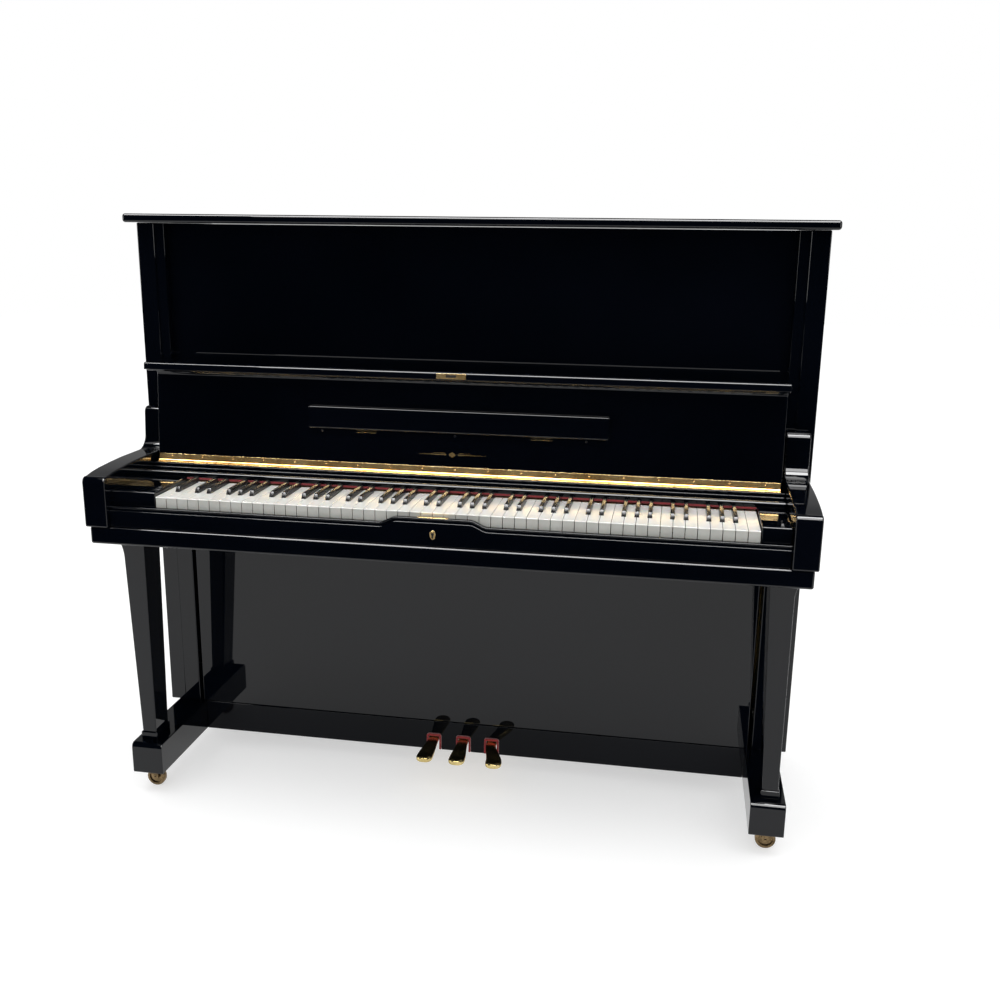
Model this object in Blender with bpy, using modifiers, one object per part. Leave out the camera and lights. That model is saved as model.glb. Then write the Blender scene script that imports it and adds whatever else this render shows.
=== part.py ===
"""Upright piano with its fallboard open: case, 88 keys in groups, action, strings, pedals, casters.

Metres, +Z up, the player at -Y. The origin is on the floor, under the middle of the overall box.
"""

import math

import bmesh
import bpy
from mathutils import Matrix, Vector

# Overall sizes.
HEIGHT = 1.310
DEPTH = 0.650
CASE_WIDTH = 1.504
LID_SIDE_OVERHANG = 0.013
LID_FRONT_OVERHANG = 0.0405
CASE_DEPTH = 0.3225
LOWER_SETBACK = 0.021

# Clearances between pieces, and the depth that joined shapes run into each other.
GAP = 0.0003
CLEAR = 0.001
EMBED = 0.004

# Edge roundings.
FINE_EDGE = 0.0015
SMALL_EDGE = 0.003
BED_EDGE = 0.004
LID_EDGE = 0.005
SIDE_EDGE = 0.006
SHARP_ANGLE = math.radians(40.0)

FRONT = -DEPTH / 2
BACK = DEPTH / 2
CASE_HALF = CASE_WIDTH / 2
CASE_FRONT = BACK - CASE_DEPTH
LOWER_FRONT = CASE_FRONT + LOWER_SETBACK

# Lid.
LID_THICKNESS = 0.019
LID_HINGE_RISE = 0.0025
LID_HINGE_RADIUS = 0.002
LID_HINGE_INSET = 0.020
LID_REAR_DEPTH = 0.150
LID_JOINT_GAP = 0.005
LID_TOP = HEIGHT - LID_HINGE_RISE
LID_UNDER = LID_TOP - LID_THICKNESS

# Toes and casters.
TOE_BOTTOM = 0.054
TOE_HEIGHT = 0.073
TOE_WIDTH = 0.073
TOE_INSET = 0.020
TOE_SETBACK = 0.102
TOE_NOSE = 0.012
TOE_TOP = TOE_BOTTOM + TOE_HEIGHT
TOE_OUTER = CASE_HALF - TOE_INSET
TOE_INNER = TOE_OUTER - TOE_WIDTH
TOE_FRONT = FRONT + TOE_SETBACK
WHEEL_RADIUS = 0.022
WHEEL_WIDTH = 0.015
WHEEL_SIDES = 32
AXLE_RADIUS = 0.003
AXLE_CLEARANCE = 0.0004
FORK_WALL = 0.003
CASTER_PLATE = (0.044, 0.036, 0.003)
CASTER_SETBACK = 0.049
CASTER_OFFSET = 0.004
CHEEK_WIDTH = 0.018
CHEEK_DROP = 0.007
ROUND_SIDES = 16

# Sides and panels.
SIDE_THICKNESS = 0.040
SIDE_BOTTOM = TOE_TOP + GAP
SIDE_TOP = LID_UNDER - GAP
SIDE_INNER = CASE_HALF - SIDE_THICKNESS
UPPER_POST_WIDTH = 0.022
UPPER_POST_SETBACK = 0.005
LOWER_POST_WIDTH = 0.037
POST_DEPTH = 0.050
PANEL_THICKNESS = 0.020
UPPER_PANEL_SETBACK = 0.0275
LOWER_PANEL_SETBACK = 0.001
PANEL_GROOVE = 0.009
PANEL_LAP = 0.004
PANEL_EDGE = 0.002
LOWER_POST_SETBACK = 0.0005
LOWER_PANEL_HEADROOM = 0.003
UPPER_OPENING = SIDE_INNER - UPPER_POST_WIDTH
LOWER_OPENING = SIDE_INNER - LOWER_POST_WIDTH

# Keybed and arms.
BED_UNDER = 0.633
BED_THICKNESS = 0.037
BED_TOP = BED_UNDER + BED_THICKNESS
BED_REACH = 0.0975
ARM_INSET = 0.0114
ARM_WIDTH = 0.050
ARM_FRONT_TOP = 0.768
ARM_CROWN = 0.787
ARM_RISER_TOP = 0.880
ARM_RISER_DEPTH = 0.051
ARM_SWEEP = 0.034
ARM_SWEEP_OFFSET = 0.004
ARM_TOP_ROUND = 0.014
ARM_TOP_REACH = 0.008
ARM_BACK_ROUND = 0.004
ARM_NOSE = 0.012
ARM_SLOPE = ((0.160, 0.0005), (0.070, -0.003), (0.022, -0.010))
ARM_OUTER = CASE_HALF - ARM_INSET
ARM_INNER = ARM_OUTER - ARM_WIDTH
BED_INSET = 0.0066
BED_HALF = ARM_OUTER - BED_INSET
BED_FRONT = FRONT + 0.006

# Keyboard.
WHITE_COUNT = 52
WHITE_PITCH = 1.225 / WHITE_COUNT
KEY_GAP = 0.0009
KEYBOARD_OFFSET = 0.0197
KEY_FRONT = FRONT + 0.0265
WHITE_TOP = 0.7365
WHITE_HEAD_HEIGHT = 0.0235
HEAD_LENGTH = 0.150
SHARP_SETBACK = 0.050
SHARP_WIDTH = 0.0100
SHARP_RISE = 0.0115
STICK_UNDER = 0.703
BALANCE_FROM_FRONT = 0.214
KEY_BACK_CLEARANCE = 0.010
SHARP_EMBED = 0.006
STICK_SETBACK = 0.020
KEY_INSET = 0.0004
OCTAVE_WHITES = 7
FRAME_INSET = 0.004
BALANCE_RAIL = (0.040, 0.024)
FRONT_RAIL = (0.010, 0.035, 0.012)
REAR_RAIL = (0.050, 0.035, 0.020)
FRAME_BAR = (0.040, 0.008)
BALANCE_RIDGE = 0.006
SHARP_AFTER = {0: -0.0014, 1: 0.0014, 3: -0.0020, 4: 0.0, 5: 0.0020}

# Fallboard.
HINGE_FROM_KEYS = 0.200
HINGE_Z = 0.770
HINGE_RADIUS = 0.003
FALLBOARD_LEAN = math.radians(5.0)
FALLBOARD_LENGTH = 0.2207
FALLBOARD_THICKNESS = 0.018
FALLBOARD_OFFSET = 0.004
FALLBOARD_FOOT = 0.0045
FALLBOARD_SIDE_CLEARANCE = 0.0076
LIP_REACH = 0.0585
LIP_THICKNESS = 0.016
LIP_STEP = 0.003
LIP_STEP_SETBACK = 0.013
LIP_CORNER = 0.012
FALLBOARD_EDGE = 0.010
HINGE_END = 0.002
HINGE_LEAF = 0.0105
HINGE_LEAF_THICKNESS = 0.0012
STRIKE_HALF = 0.031
DESK_HALF = 0.328
DESK_HEIGHT = 0.050
DESK_THICKNESS = 0.012
DESK_FOOT = 0.0875
RAIL_FRONT_FROM_KEYS = 0.150
RAIL_UNDER = 0.7455
RAIL_THICKNESS = 0.0205
RAIL_LEDGE = 0.009
RAIL_STEP = 0.008
FELT_THICKNESS = 0.005
FELT_DEPTH = 0.012
RAIL_NOSE = 0.0055
RAIL_REACH = 0.022

HINGE_Y = KEY_FRONT + HINGE_FROM_KEYS
FALLBOARD_HALF = ARM_INNER - FALLBOARD_SIDE_CLEARANCE
RAIL_TOP = RAIL_UNDER + RAIL_THICKNESS

# Key blocks and key slip.
BLOCK_TOP = 0.745
SLIP_SET_FORWARD = 0.003
SLIP_THICKNESS = 0.011
SLIP_TOP = 0.7146
SLIP_CROWN_TOP = 0.7275
SLIP_CROWN_HALF = 0.073
SLIP_FLARE = 0.039
LOCK_PLATE = (0.062, 0.009, 0.0012)

# Back of the instrument.
POST_COUNT = 5
BACK_POST_DEPTH = 0.088
BACK_POST_WIDTH = 0.070
BACK_BEAM_HEIGHT = 0.110
SOUNDBOARD_THICKNESS = 0.009
PLATE_THICKNESS = 0.025
STRING_CLEARANCE = 0.004
STRING_THICKNESS = 0.001
STRING_COUNT = 88
STRING_WIDTH = 0.0045
STRING_BAR = 0.010
STRING_FOOT = 0.080
STRING_HEADROOM = 0.070
BACK_FRAME_RELIEF = 0.006
SOUNDBOARD_FOOT = 0.030
SOUNDBOARD_LAP = 0.020
SHEET_THICKNESS = 0.006
PLATE_BAR = 0.024
PLATE_BAR_X = (-0.330, 0.030, 0.360)
PLATE_FOOT = 0.020
PLATE_HEADROOM = 0.012
PLATE_TOP_RIM = 0.020
PLATE_FOOT_RIM = 0.030
PLATE_SIDE_CLEARANCE = 0.004

# Action.
HAMMER_COUNT = 88
HAMMER_PIVOT_FROM_STRINGS = 0.084
HAMMER_PIVOT_Z = 0.915
HAMMER_LENGTH = 0.145
HAMMER_HEAD_DEPTH = 0.034
HAMMER_HEAD_HEIGHT = 0.024
HAMMER_HEAD_WIDTH = 0.0095
ACTION_HALF = 0.622
SHANK = 0.005
RAIL_BAR = 0.020
BUTT_HALF = 0.007
HEAD_SETBACK = 0.004
HEAD_ROOT = 0.004
ACTION_RAIL = (0.024, 0.020)
ACTION_RAIL_DROP = 0.036
BRACKET_THICKNESS = 0.008
BRACKET_X = 0.215
BRACKET_HEEL = 0.030
BRACKET_WAIST = 0.080
BRACKET_TOE = 0.060
HAMMER_HEAD_LINE = 0.020
ACTION_END = 0.030
REST_RAIL_RISE = 0.085
REST_RAIL_DEPTH = 0.0167
REST_ARM = 0.006
DAMPED_NOTES = 66
DAMPER_THICKNESS = 0.012
DAMPER_WIDTH = 0.009
DAMPER_RISE = 0.075
DAMPER_DROP = 0.004
DAMPER_ROOT = 0.010
DAMPER_CLEARANCE = 0.0005
MUFFLER_THICKNESS = 0.012
MUFFLER_HEIGHT = 0.050
MUFFLER_RISE = 0.012

# Pedals.
PEDAL_X = (-0.0735, -0.0010, 0.0680)
PEDAL_FLARE = (-0.001, 0.003, 0.021)
PEDAL_NAMES = ("soft", "middle", "sustain")
PEDAL_TOP = 0.088
PEDAL_THICKNESS = 0.012
PEDAL_NECK = 0.024
PEDAL_TOE = 0.038
PEDAL_REACH = 0.112
PEDAL_PIVOT_FROM_FRONT = 0.175
PEDAL_SLOT_WIDTH = 0.036
PEDAL_SLOT_TOP = 0.096
PEDAL_NOSE = 0.018
PEDAL_EASE = 0.86
PEDAL_BLOCK = (0.060, 0.030, 0.010)
LEVER_RISE = 0.012
LEVER_END = 0.012
LEVER_TIP = 0.015
ROD_TOP_DROP = (0.060, 0.075, 0.090)
PLINTH_THICKNESS = 0.022
BOTTOM_BOARD_UNDER = 0.100
BOTTOM_BOARD_THICKNESS = 0.018
LEVER_SECTION = (0.018, 0.026)
LEVER_PIVOT_X = -0.330
ROD_RADIUS = 0.0045
ROD_X = (-0.600, -0.570, -0.540)
LEVER_BEHIND_KEYS = (0.0361, 0.0581, 0.0801)

PLINTH_FRONT = LOWER_FRONT - 0.004
PLATE_FRONT = BACK - BACK_POST_DEPTH - GAP - SOUNDBOARD_THICKNESS - GAP - PLATE_THICKNESS
STRING_BACK = PLATE_FRONT - STRING_CLEARANCE
STRING_FRONT = STRING_BACK - STRING_THICKNESS
HAMMER_PIVOT_Y = STRING_FRONT - HAMMER_PIVOT_FROM_STRINGS
ACTION_FRONT = HAMMER_PIVOT_Y - 0.030
KEY_BACK = ACTION_FRONT - KEY_BACK_CLEARANCE

# Legs.
LEG_RAKE = 0.038
LEG_DEPTH = 0.075
LEG_FOOT_WIDTH = 0.033
LEG_FOOT_SHIFT = 0.004
LEG_KNEE_WIDTH = 0.050
LEG_HEAD_WIDTH = 0.068
LEG_FLARE_HEIGHT = 0.062
LEG_PLINTH_HEIGHT = 0.017
LEG_PLINTH_GROWTH = 0.003
LEG_FROM_KEYBED_FRONT = 0.0855
LEG_BACK_TAPER = 0.015
LEG_FLARE_POWER = 2.2

LACQUER = ("black_lacquer", (0.006, 0.006, 0.009), 0.06, 0.0)
BRASS = ("brass", (0.83, 0.62, 0.28), 0.22, 1.0)
IVORY = ("key_white", (0.86, 0.85, 0.82), 0.25, 0.0)
WOOD = ("spruce", (0.62, 0.44, 0.26), 0.55, 0.0)
FELT = ("red_felt", (0.45, 0.03, 0.04), 0.95, 0.0)
IRON = ("bronze_paint", (0.60, 0.45, 0.22), 0.45, 0.6)
STEEL = ("steel", (0.62, 0.63, 0.65), 0.28, 1.0)
HAMMER_FELT = ("hammer_felt", (0.80, 0.77, 0.70), 0.95, 0.0)

PARTS = bpy.data.collections.new("upright_piano")
CUTTERS = bpy.data.collections.new("cutters")


def clear_scene():
    for obj in list(bpy.data.objects):
        bpy.data.objects.remove(obj)
    bpy.context.scene.collection.children.link(PARTS)
    bpy.context.scene.collection.children.link(CUTTERS)


def material(obj, finish):
    """Give the object its own Principled material."""
    name, colour, roughness, metallic = finish
    made = bpy.data.materials.new(f"{obj.name}_{name}")
    made.use_nodes = True
    shader = made.node_tree.nodes["Principled BSDF"]
    shader.inputs["Base Color"].default_value = (*colour, 1.0)
    shader.inputs["Roughness"].default_value = roughness
    shader.inputs["Metallic"].default_value = metallic
    made.diffuse_color = (*colour, 1.0)
    obj.data.materials.clear()
    obj.data.materials.append(made)
    return obj


def from_bmesh(name, mesh):
    bmesh.ops.recalc_face_normals(mesh, faces=mesh.faces)
    data = bpy.data.meshes.new(name)
    mesh.to_mesh(data)
    mesh.free()
    obj = bpy.data.objects.new(name, data)
    PARTS.objects.link(obj)
    return obj


def box(name, x, y, z):
    """A box between the two limits given for each axis."""
    mesh = bmesh.new()
    bmesh.ops.create_cube(mesh, size=1.0)
    size = Vector((x[1] - x[0], y[1] - y[0], z[1] - z[0]))
    middle = Vector(((x[0] + x[1]) / 2, (y[0] + y[1]) / 2, (z[0] + z[1]) / 2))
    bmesh.ops.transform(
        mesh, matrix=Matrix.Translation(middle) @ Matrix.Diagonal((*size, 1.0)), verts=mesh.verts
    )
    return from_bmesh(name, mesh)


def cylinder(name, radius, low, high, axis, centre, sides):
    """A cylinder along one axis, between low and high on it. A flat facet faces down."""
    mesh = bmesh.new()
    bmesh.ops.create_cone(
        mesh, cap_ends=True, segments=sides, radius1=radius, radius2=radius, depth=high - low
    )
    bmesh.ops.rotate(mesh, matrix=Matrix.Rotation(math.pi / sides, 3, "Z"), verts=mesh.verts)
    turn = {"X": Matrix.Rotation(math.pi / 2, 3, "Y"), "Y": Matrix.Rotation(math.pi / 2, 3, "X")}
    if axis in turn:
        bmesh.ops.rotate(mesh, matrix=turn[axis], verts=mesh.verts)
    middle = (low + high) / 2
    place = {
        "X": (middle, centre[0], centre[1]),
        "Y": (centre[0], middle, centre[1]),
        "Z": (centre[0], centre[1], middle),
    }
    bmesh.ops.translate(mesh, vec=place[axis], verts=mesh.verts)
    obj = from_bmesh(name, mesh)
    obj.data.shade_smooth()
    obj.data.set_sharp_from_angle(angle=SHARP_ANGLE)
    return obj


def plate(name, outline, axis, low, high):
    """A flat outline thickened between low and high along an axis.

    The outline's two coordinates are (y, z) along X, (x, z) along Y and (x, y) along Z.
    """
    curve = bpy.data.curves.new(name, "CURVE")
    curve.dimensions = "2D"
    curve.fill_mode = "BOTH"
    curve.extrude = (high - low) / 2
    spline = curve.splines.new("POLY")
    spline.points.add(len(outline) - 1)
    for point, (u, v) in zip(spline.points, outline):
        point.co = (u, v, 0.0, 1.0)
    spline.use_cyclic_u = True
    drawn = bpy.data.objects.new(name, curve)
    PARTS.objects.link(drawn)
    bpy.context.view_layer.update()
    solid = drawn.evaluated_get(bpy.context.evaluated_depsgraph_get())
    data = bpy.data.meshes.new_from_object(solid)
    bpy.data.objects.remove(drawn)
    bpy.data.curves.remove(curve)
    middle = (low + high) / 2
    columns = {
        "X": ((0, 0, 1), (1, 0, 0), (0, 1, 0)),
        "Y": ((1, 0, 0), (0, 0, -1), (0, 1, 0)),
        "Z": ((1, 0, 0), (0, 1, 0), (0, 0, 1)),
    }
    along = {"X": (middle, 0, 0), "Y": (0, middle, 0), "Z": (0, 0, middle)}
    data.transform(Matrix.Translation(along[axis]) @ Matrix(columns[axis]).to_4x4())
    mesh = bmesh.new()
    mesh.from_mesh(data)
    bpy.data.meshes.remove(data)
    bmesh.ops.remove_doubles(mesh, verts=mesh.verts, dist=0.00001)
    return from_bmesh(name, mesh)


def boolean(obj, other, operation):
    """Cut the other object out of this one, or join it on. The other becomes a hidden helper."""
    change = obj.modifiers.new(f"{operation.lower()}_{other.name}", "BOOLEAN")
    change.operation = operation
    change.solver = "EXACT"
    change.object = other
    PARTS.objects.unlink(other)
    CUTTERS.objects.link(other)
    other.hide_render = True
    other.display_type = "WIRE"
    return obj


def join(obj, *others):
    for other in others:
        boolean(obj, other, "UNION")
    return obj


def cut(obj, *others):
    for other in others:
        boolean(obj, other, "DIFFERENCE")
    return obj


def soften(obj, width, segments=2):
    edges = obj.modifiers.new("rounded_edges", "BEVEL")
    edges.width = width
    edges.segments = segments
    edges.limit_method = "ANGLE"
    edges.angle_limit = SHARP_ANGLE
    edges.use_clamp_overlap = True
    return obj


def pivot(obj, point):
    """Put the object's origin on its joint's axis, leaving its surface where it is."""
    obj.data.transform(Matrix.Translation(-Vector(point)))
    obj.location = point
    return obj


def arc(centre, radius, start, end, steps):
    """Points along an arc in a flat outline, angles in degrees."""
    found = []
    for step in range(steps + 1):
        angle = math.radians(start + (end - start) * step / steps)
        found.append((centre[0] + radius * math.cos(angle), centre[1] + radius * math.sin(angle)))
    return found


def mirrored(side, span):
    """The limits of a span on the left (-1) or right (+1) side."""
    low, high = side * span[0], side * span[1]
    return (min(low, high), max(low, high))


def side_board(side, name):
    """A case side, whose lower front edge is set back, with its inner posts glued on."""
    outline = [
        (BACK, SIDE_BOTTOM),
        (BACK, SIDE_TOP),
        (CASE_FRONT, SIDE_TOP),
        (CASE_FRONT, BED_UNDER),
        (LOWER_FRONT, BED_UNDER),
        (LOWER_FRONT, SIDE_BOTTOM),
    ]
    board = plate(name, outline, "X", *mirrored(side, (SIDE_INNER, CASE_HALF)))
    soften(board, SIDE_EDGE, 2)
    upper_front = CASE_FRONT + UPPER_POST_SETBACK
    upper = box(
        f"{name}_upper_post",
        mirrored(side, (UPPER_OPENING, SIDE_INNER + EMBED)),
        (upper_front, CASE_FRONT + UPPER_PANEL_SETBACK - GAP),
        (RAIL_TOP + GAP, SIDE_TOP - CLEAR),
    )
    lower = box(
        f"{name}_lower_post",
        mirrored(side, (LOWER_OPENING, SIDE_INNER + EMBED)),
        (LOWER_FRONT + LOWER_POST_SETBACK, LOWER_FRONT + POST_DEPTH),
        (SIDE_BOTTOM, BED_UNDER - GAP),
    )
    return material(join(board, upper, lower), LACQUER)


def toe(side, name):
    """The foot rail under a case side, with a rounded front top edge."""
    outline = [(BACK, TOE_BOTTOM), (BACK, TOE_TOP)]
    outline += arc((TOE_FRONT + TOE_NOSE, TOE_TOP - TOE_NOSE), TOE_NOSE, 90, 180, 5)
    outline += [(TOE_FRONT, TOE_BOTTOM)]
    rail = plate(name, outline, "X", *mirrored(side, (TOE_INNER, TOE_OUTER)))
    return material(soften(rail, FINE_EDGE, 1), LACQUER)


def leg(side, name):
    """A tapered leg, flared outwards under the keybed, raked back, on a small plinth block."""
    middle = (TOE_INNER + TOE_OUTER) / 2
    foot = TOE_TOP + GAP
    sole = foot + LEG_PLINTH_HEIGHT
    head = BED_UNDER - GAP
    inner_head = middle - LEG_HEAD_WIDTH / 2
    inner_foot = middle + LEG_FOOT_SHIFT - LEG_FOOT_WIDTH / 2
    outer_foot = middle + LEG_FOOT_SHIFT + LEG_FOOT_WIDTH / 2
    outer_knee = inner_head + LEG_KNEE_WIDTH
    outer_head = inner_head + LEG_HEAD_WIDTH
    knee = head - LEG_FLARE_HEIGHT
    outline = [(inner_head, head), (inner_foot, sole), (outer_foot, sole), (outer_knee, knee)]
    steps = 6
    for step in range(1, steps + 1):
        share = step / steps
        outline.append(
            (outer_knee + (outer_head - outer_knee) * share**LEG_FLARE_POWER, knee + (head - knee) * share)
        )
    outline = [(side * x, z) for x, z in outline]
    front = BED_FRONT + LEG_FROM_KEYBED_FRONT
    post = plate(name, outline, "Y", front, front + LEG_DEPTH)
    for vertex in post.data.vertices:
        down = (head - vertex.co.z) / (head - sole)
        if vertex.co.y > front + LEG_DEPTH / 2:
            vertex.co.y -= LEG_BACK_TAPER * down
        vertex.co.y += LEG_RAKE * down
    back = front + LEG_RAKE + LEG_DEPTH - LEG_BACK_TAPER
    block = box(
        f"{name}_plinth",
        mirrored(side, (inner_foot - LEG_PLINTH_GROWTH, outer_foot + LEG_PLINTH_GROWTH)),
        (front + LEG_RAKE - LEG_PLINTH_GROWTH, back + LEG_PLINTH_GROWTH),
        (foot, sole + CLEAR),
    )
    return material(join(soften(post, FINE_EDGE, 1), block), LACQUER)


def arm(side, name):
    """An arm beside the keys: a flat top that sweeps up behind into a riser with a rounded top."""
    under = BED_TOP + GAP
    back = CASE_FRONT - GAP
    riser = back - ARM_RISER_DEPTH
    top = ARM_RISER_TOP
    outline = [(back, under)]
    outline += arc((back - ARM_BACK_ROUND, top - ARM_BACK_ROUND), ARM_BACK_ROUND, 0, 90, 2)
    crest = riser + ARM_TOP_ROUND + ARM_TOP_REACH
    outline += arc((crest, top - ARM_TOP_ROUND), ARM_TOP_ROUND, 90, 165, 4)
    sweep = (riser + ARM_SWEEP_OFFSET - ARM_SWEEP, ARM_CROWN + ARM_SWEEP)
    outline += arc(sweep, ARM_SWEEP, -8, -88, 6)
    outline += [(FRONT + y, ARM_CROWN + rise) for y, rise in ARM_SLOPE]
    nose = (FRONT + ARM_NOSE, ARM_FRONT_TOP - ARM_NOSE / 2)
    outline += arc(nose, ARM_NOSE, 80, 180, 5)
    outline += [(FRONT, under)]
    rest = plate(name, outline, "X", *mirrored(side, (ARM_INNER, ARM_OUTER)))
    return material(soften(rest, SMALL_EDGE, 2), LACQUER)


def key_bed():
    """The shelf that carries the keys: wide in front under the arms, narrower between the sides."""
    inside = SIDE_INNER - CLEAR
    waist = CASE_FRONT - CLEAR
    outline = [
        (-BED_HALF, BED_FRONT),
        (BED_HALF, BED_FRONT),
        (BED_HALF, waist),
        (inside, waist),
        (inside, CASE_FRONT + BED_REACH),
        (-inside, CASE_FRONT + BED_REACH),
        (-inside, waist),
        (-BED_HALF, waist),
    ]
    shelf = plate("key_bed", outline, "Z", BED_UNDER, BED_TOP)
    return material(soften(shelf, BED_EDGE, 2), LACQUER)


def key_slip():
    """The strip in front of the keys, raised in the middle with a sloping flare at each end."""
    half = ARM_INNER - GAP
    under = BED_TOP + GAP
    outline = [(-half, under), (half, under), (half, SLIP_TOP)]
    steps = 6
    for side in (1, -1):
        for step in range(steps + 1):
            share = step / steps if side > 0 else 1 - step / steps
            rise = (1 - math.cos(math.pi * share)) / 2
            x = SLIP_CROWN_HALF + SLIP_FLARE * (1 - share)
            outline.append((side * x, SLIP_TOP + (SLIP_CROWN_TOP - SLIP_TOP) * rise))
    outline.append((-half, SLIP_TOP))
    back = KEY_FRONT - SLIP_SET_FORWARD
    return material(plate("key_slip", outline, "Y", back - SLIP_THICKNESS, back), LACQUER)


def lock_plate():
    middle = KEY_FRONT - SLIP_SET_FORWARD - SLIP_THICKNESS / 2
    width, depth, thick = LOCK_PLATE
    plate_box = box(
        "lock_plate",
        (-width / 2, width / 2),
        (middle - depth / 2, middle + depth / 2),
        (SLIP_CROWN_TOP + GAP, SLIP_CROWN_TOP + GAP + thick),
    )
    return material(plate_box, BRASS)


def key_blocks():
    """The blocks that fill the space between the outer keys and the arms."""
    left_key = KEYBOARD_OFFSET - WHITE_PITCH * WHITE_COUNT / 2
    right_key = KEYBOARD_OFFSET + WHITE_PITCH * WHITE_COUNT / 2
    spans = {
        "key_block_left": (-ARM_INNER + GAP, left_key - CLEAR),
        "key_block_right": (right_key + CLEAR, ARM_INNER - GAP),
    }
    for name, span in spans.items():
        block = box(name, span, (KEY_FRONT, CASE_FRONT - CLEAR), (BED_TOP + GAP, BLOCK_TOP))
        material(soften(block, SMALL_EDGE, 2), LACQUER)


def key_frame():
    """Three rails and three cross bars under the keys. The keys balance on the middle rail."""
    half = WHITE_PITCH * WHITE_COUNT / 2 - FRAME_INSET
    low = BED_TOP + GAP
    left, right = KEYBOARD_OFFSET - half, KEYBOARD_OFFSET + half
    balance = KEY_FRONT + BALANCE_FROM_FRONT
    depth, height = BALANCE_RAIL
    frame = box(
        "key_frame", (left, right), (balance - depth / 2, balance + depth / 2), (low, low + height)
    )
    setback, depth, thick = FRONT_RAIL
    start = KEY_FRONT + setback
    front = box("rail_front", (left, right), (start, start + depth), (low, low + thick))
    setback, depth, thick = REAR_RAIL
    start = KEY_BACK - setback
    rear = box("rail_rear", (left, right), (start, start + depth), (low, low + thick))
    width, thick = FRAME_BAR
    inside = (KEY_FRONT + FRONT_RAIL[0] + EMBED, start + EMBED)
    bars = []
    for index, x in enumerate((left, KEYBOARD_OFFSET - width / 2, right - width)):
        bars.append(box(f"bar_{index}", (x, x + width), inside, (low, low + thick)))
    ridge = box(
        "balance_ridge",
        (left, right),
        (balance - BALANCE_RIDGE / 2, balance + BALANCE_RIDGE / 2),
        (low + height - EMBED, STICK_UNDER - CLEAR),
    )
    return material(join(frame, front, rear, ridge, *bars), WOOD)


def blocks(name, limits):
    """Separate boxes in one mesh, each given by its limits along X, Y and Z, to join to another piece."""
    mesh = bmesh.new()
    for x, y, z in limits:
        made = bmesh.ops.create_cube(mesh, size=1.0)
        size = (x[1] - x[0], y[1] - y[0], z[1] - z[0])
        middle = ((x[0] + x[1]) / 2, (y[0] + y[1]) / 2, (z[0] + z[1]) / 2)
        place = Matrix.Translation(middle) @ Matrix.Diagonal((*size, 1.0))
        bmesh.ops.transform(mesh, matrix=place, verts=made["verts"])
    return from_bmesh(name, mesh)


def key_group(name, first, count):
    """Neighbouring white and black keys as one body, joined where the case hides their sticks.

    first counts white keys from the left end of the keyboard, where 0 is A.
    """
    left = KEYBOARD_OFFSET - WHITE_PITCH * WHITE_COUNT / 2
    start = left + first * WHITE_PITCH + KEY_GAP / 2
    end = left + (first + count) * WHITE_PITCH - KEY_GAP / 2
    head_back = KEY_FRONT + HEAD_LENGTH
    head_under = WHITE_TOP - WHITE_HEAD_HEIGHT
    inset = KEY_INSET
    group = box(
        name,
        (start + inset, end - inset),
        (head_back - EMBED, KEY_BACK),
        (STICK_UNDER, WHITE_TOP - inset),
    )
    under = box(
        f"{name}_sticks",
        (start + 2 * inset, end - 2 * inset),
        (KEY_FRONT + STICK_SETBACK, head_back),
        (STICK_UNDER + inset, head_under + EMBED),
    )
    heads = []
    for index in range(count):
        x = left + (first + index) * WHITE_PITCH + KEY_GAP / 2
        span = (x, x + WHITE_PITCH - KEY_GAP)
        heads.append((span, (KEY_FRONT, head_back), (head_under, WHITE_TOP)))
    limits = []
    for index in range(count):
        step = (first + index - 2) % OCTAVE_WHITES
        if step not in SHARP_AFTER or first + index + 1 == WHITE_COUNT:
            continue
        x = left + (first + index + 1) * WHITE_PITCH + SHARP_AFTER[step]
        limits.append(
            (
                (x - SHARP_WIDTH / 2, x + SHARP_WIDTH / 2),
                (KEY_FRONT + SHARP_SETBACK, head_back - EMBED / 2),
                (WHITE_TOP - SHARP_EMBED, WHITE_TOP + SHARP_RISE),
            )
        )
    join(group, under, blocks(f"{name}_heads", heads), blocks(f"{name}_sharps", limits))
    pivot(group, (KEYBOARD_OFFSET, KEY_FRONT + BALANCE_FROM_FRONT, STICK_UNDER))
    return material(group, IVORY)


def keyboard():
    """The 52 white and 36 black keys in seven groups, each from one C up to the next B."""
    names = ["A0_B1", "C2_B2", "C3_B3", "C4_B4", "C5_B5", "C6_B6", "C7_C8"]
    counts = [9, 7, 7, 7, 7, 7, 8]
    first = 0
    for name, count in zip(names, counts):
        key_group(f"keys_{name}", first, count)
        first += count


def fallboard_point(along, out):
    """A point (y, z) on the open fallboard: along it from the hinge, and out towards the player."""
    lean = FALLBOARD_LEAN
    y = HINGE_Y + along * math.sin(lean) - out * math.cos(lean)
    z = HINGE_Z + along * math.cos(lean) + out * math.sin(lean)
    return (y, z)


def fallboard():
    """The key lid, open: a board that ends in a thick lip, which hangs over the key slip when shut."""
    inner = -FALLBOARD_OFFSET
    outer = inner - FALLBOARD_THICKNESS
    end = FALLBOARD_LENGTH
    under = end - LIP_THICKNESS
    step = under - LIP_STEP
    shape = [
        (FALLBOARD_FOOT, inner),
        (step - LIP_CORNER, inner),
        (step, inner + LIP_CORNER),
        (step, LIP_REACH - LIP_STEP_SETBACK - LIP_STEP),
        (under, LIP_REACH - LIP_STEP_SETBACK),
        (under, LIP_REACH),
        (end - SMALL_EDGE, LIP_REACH),
        (end, LIP_REACH - SMALL_EDGE),
        (end, outer + FALLBOARD_EDGE),
        (end - FALLBOARD_EDGE, outer),
        (FALLBOARD_FOOT, outer),
    ]
    outline = [fallboard_point(*point) for point in shape]
    board = plate("fallboard", outline, "X", -FALLBOARD_HALF, FALLBOARD_HALF)
    return material(pivot(board, (0, HINGE_Y, HINGE_Z)), LACQUER)


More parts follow.
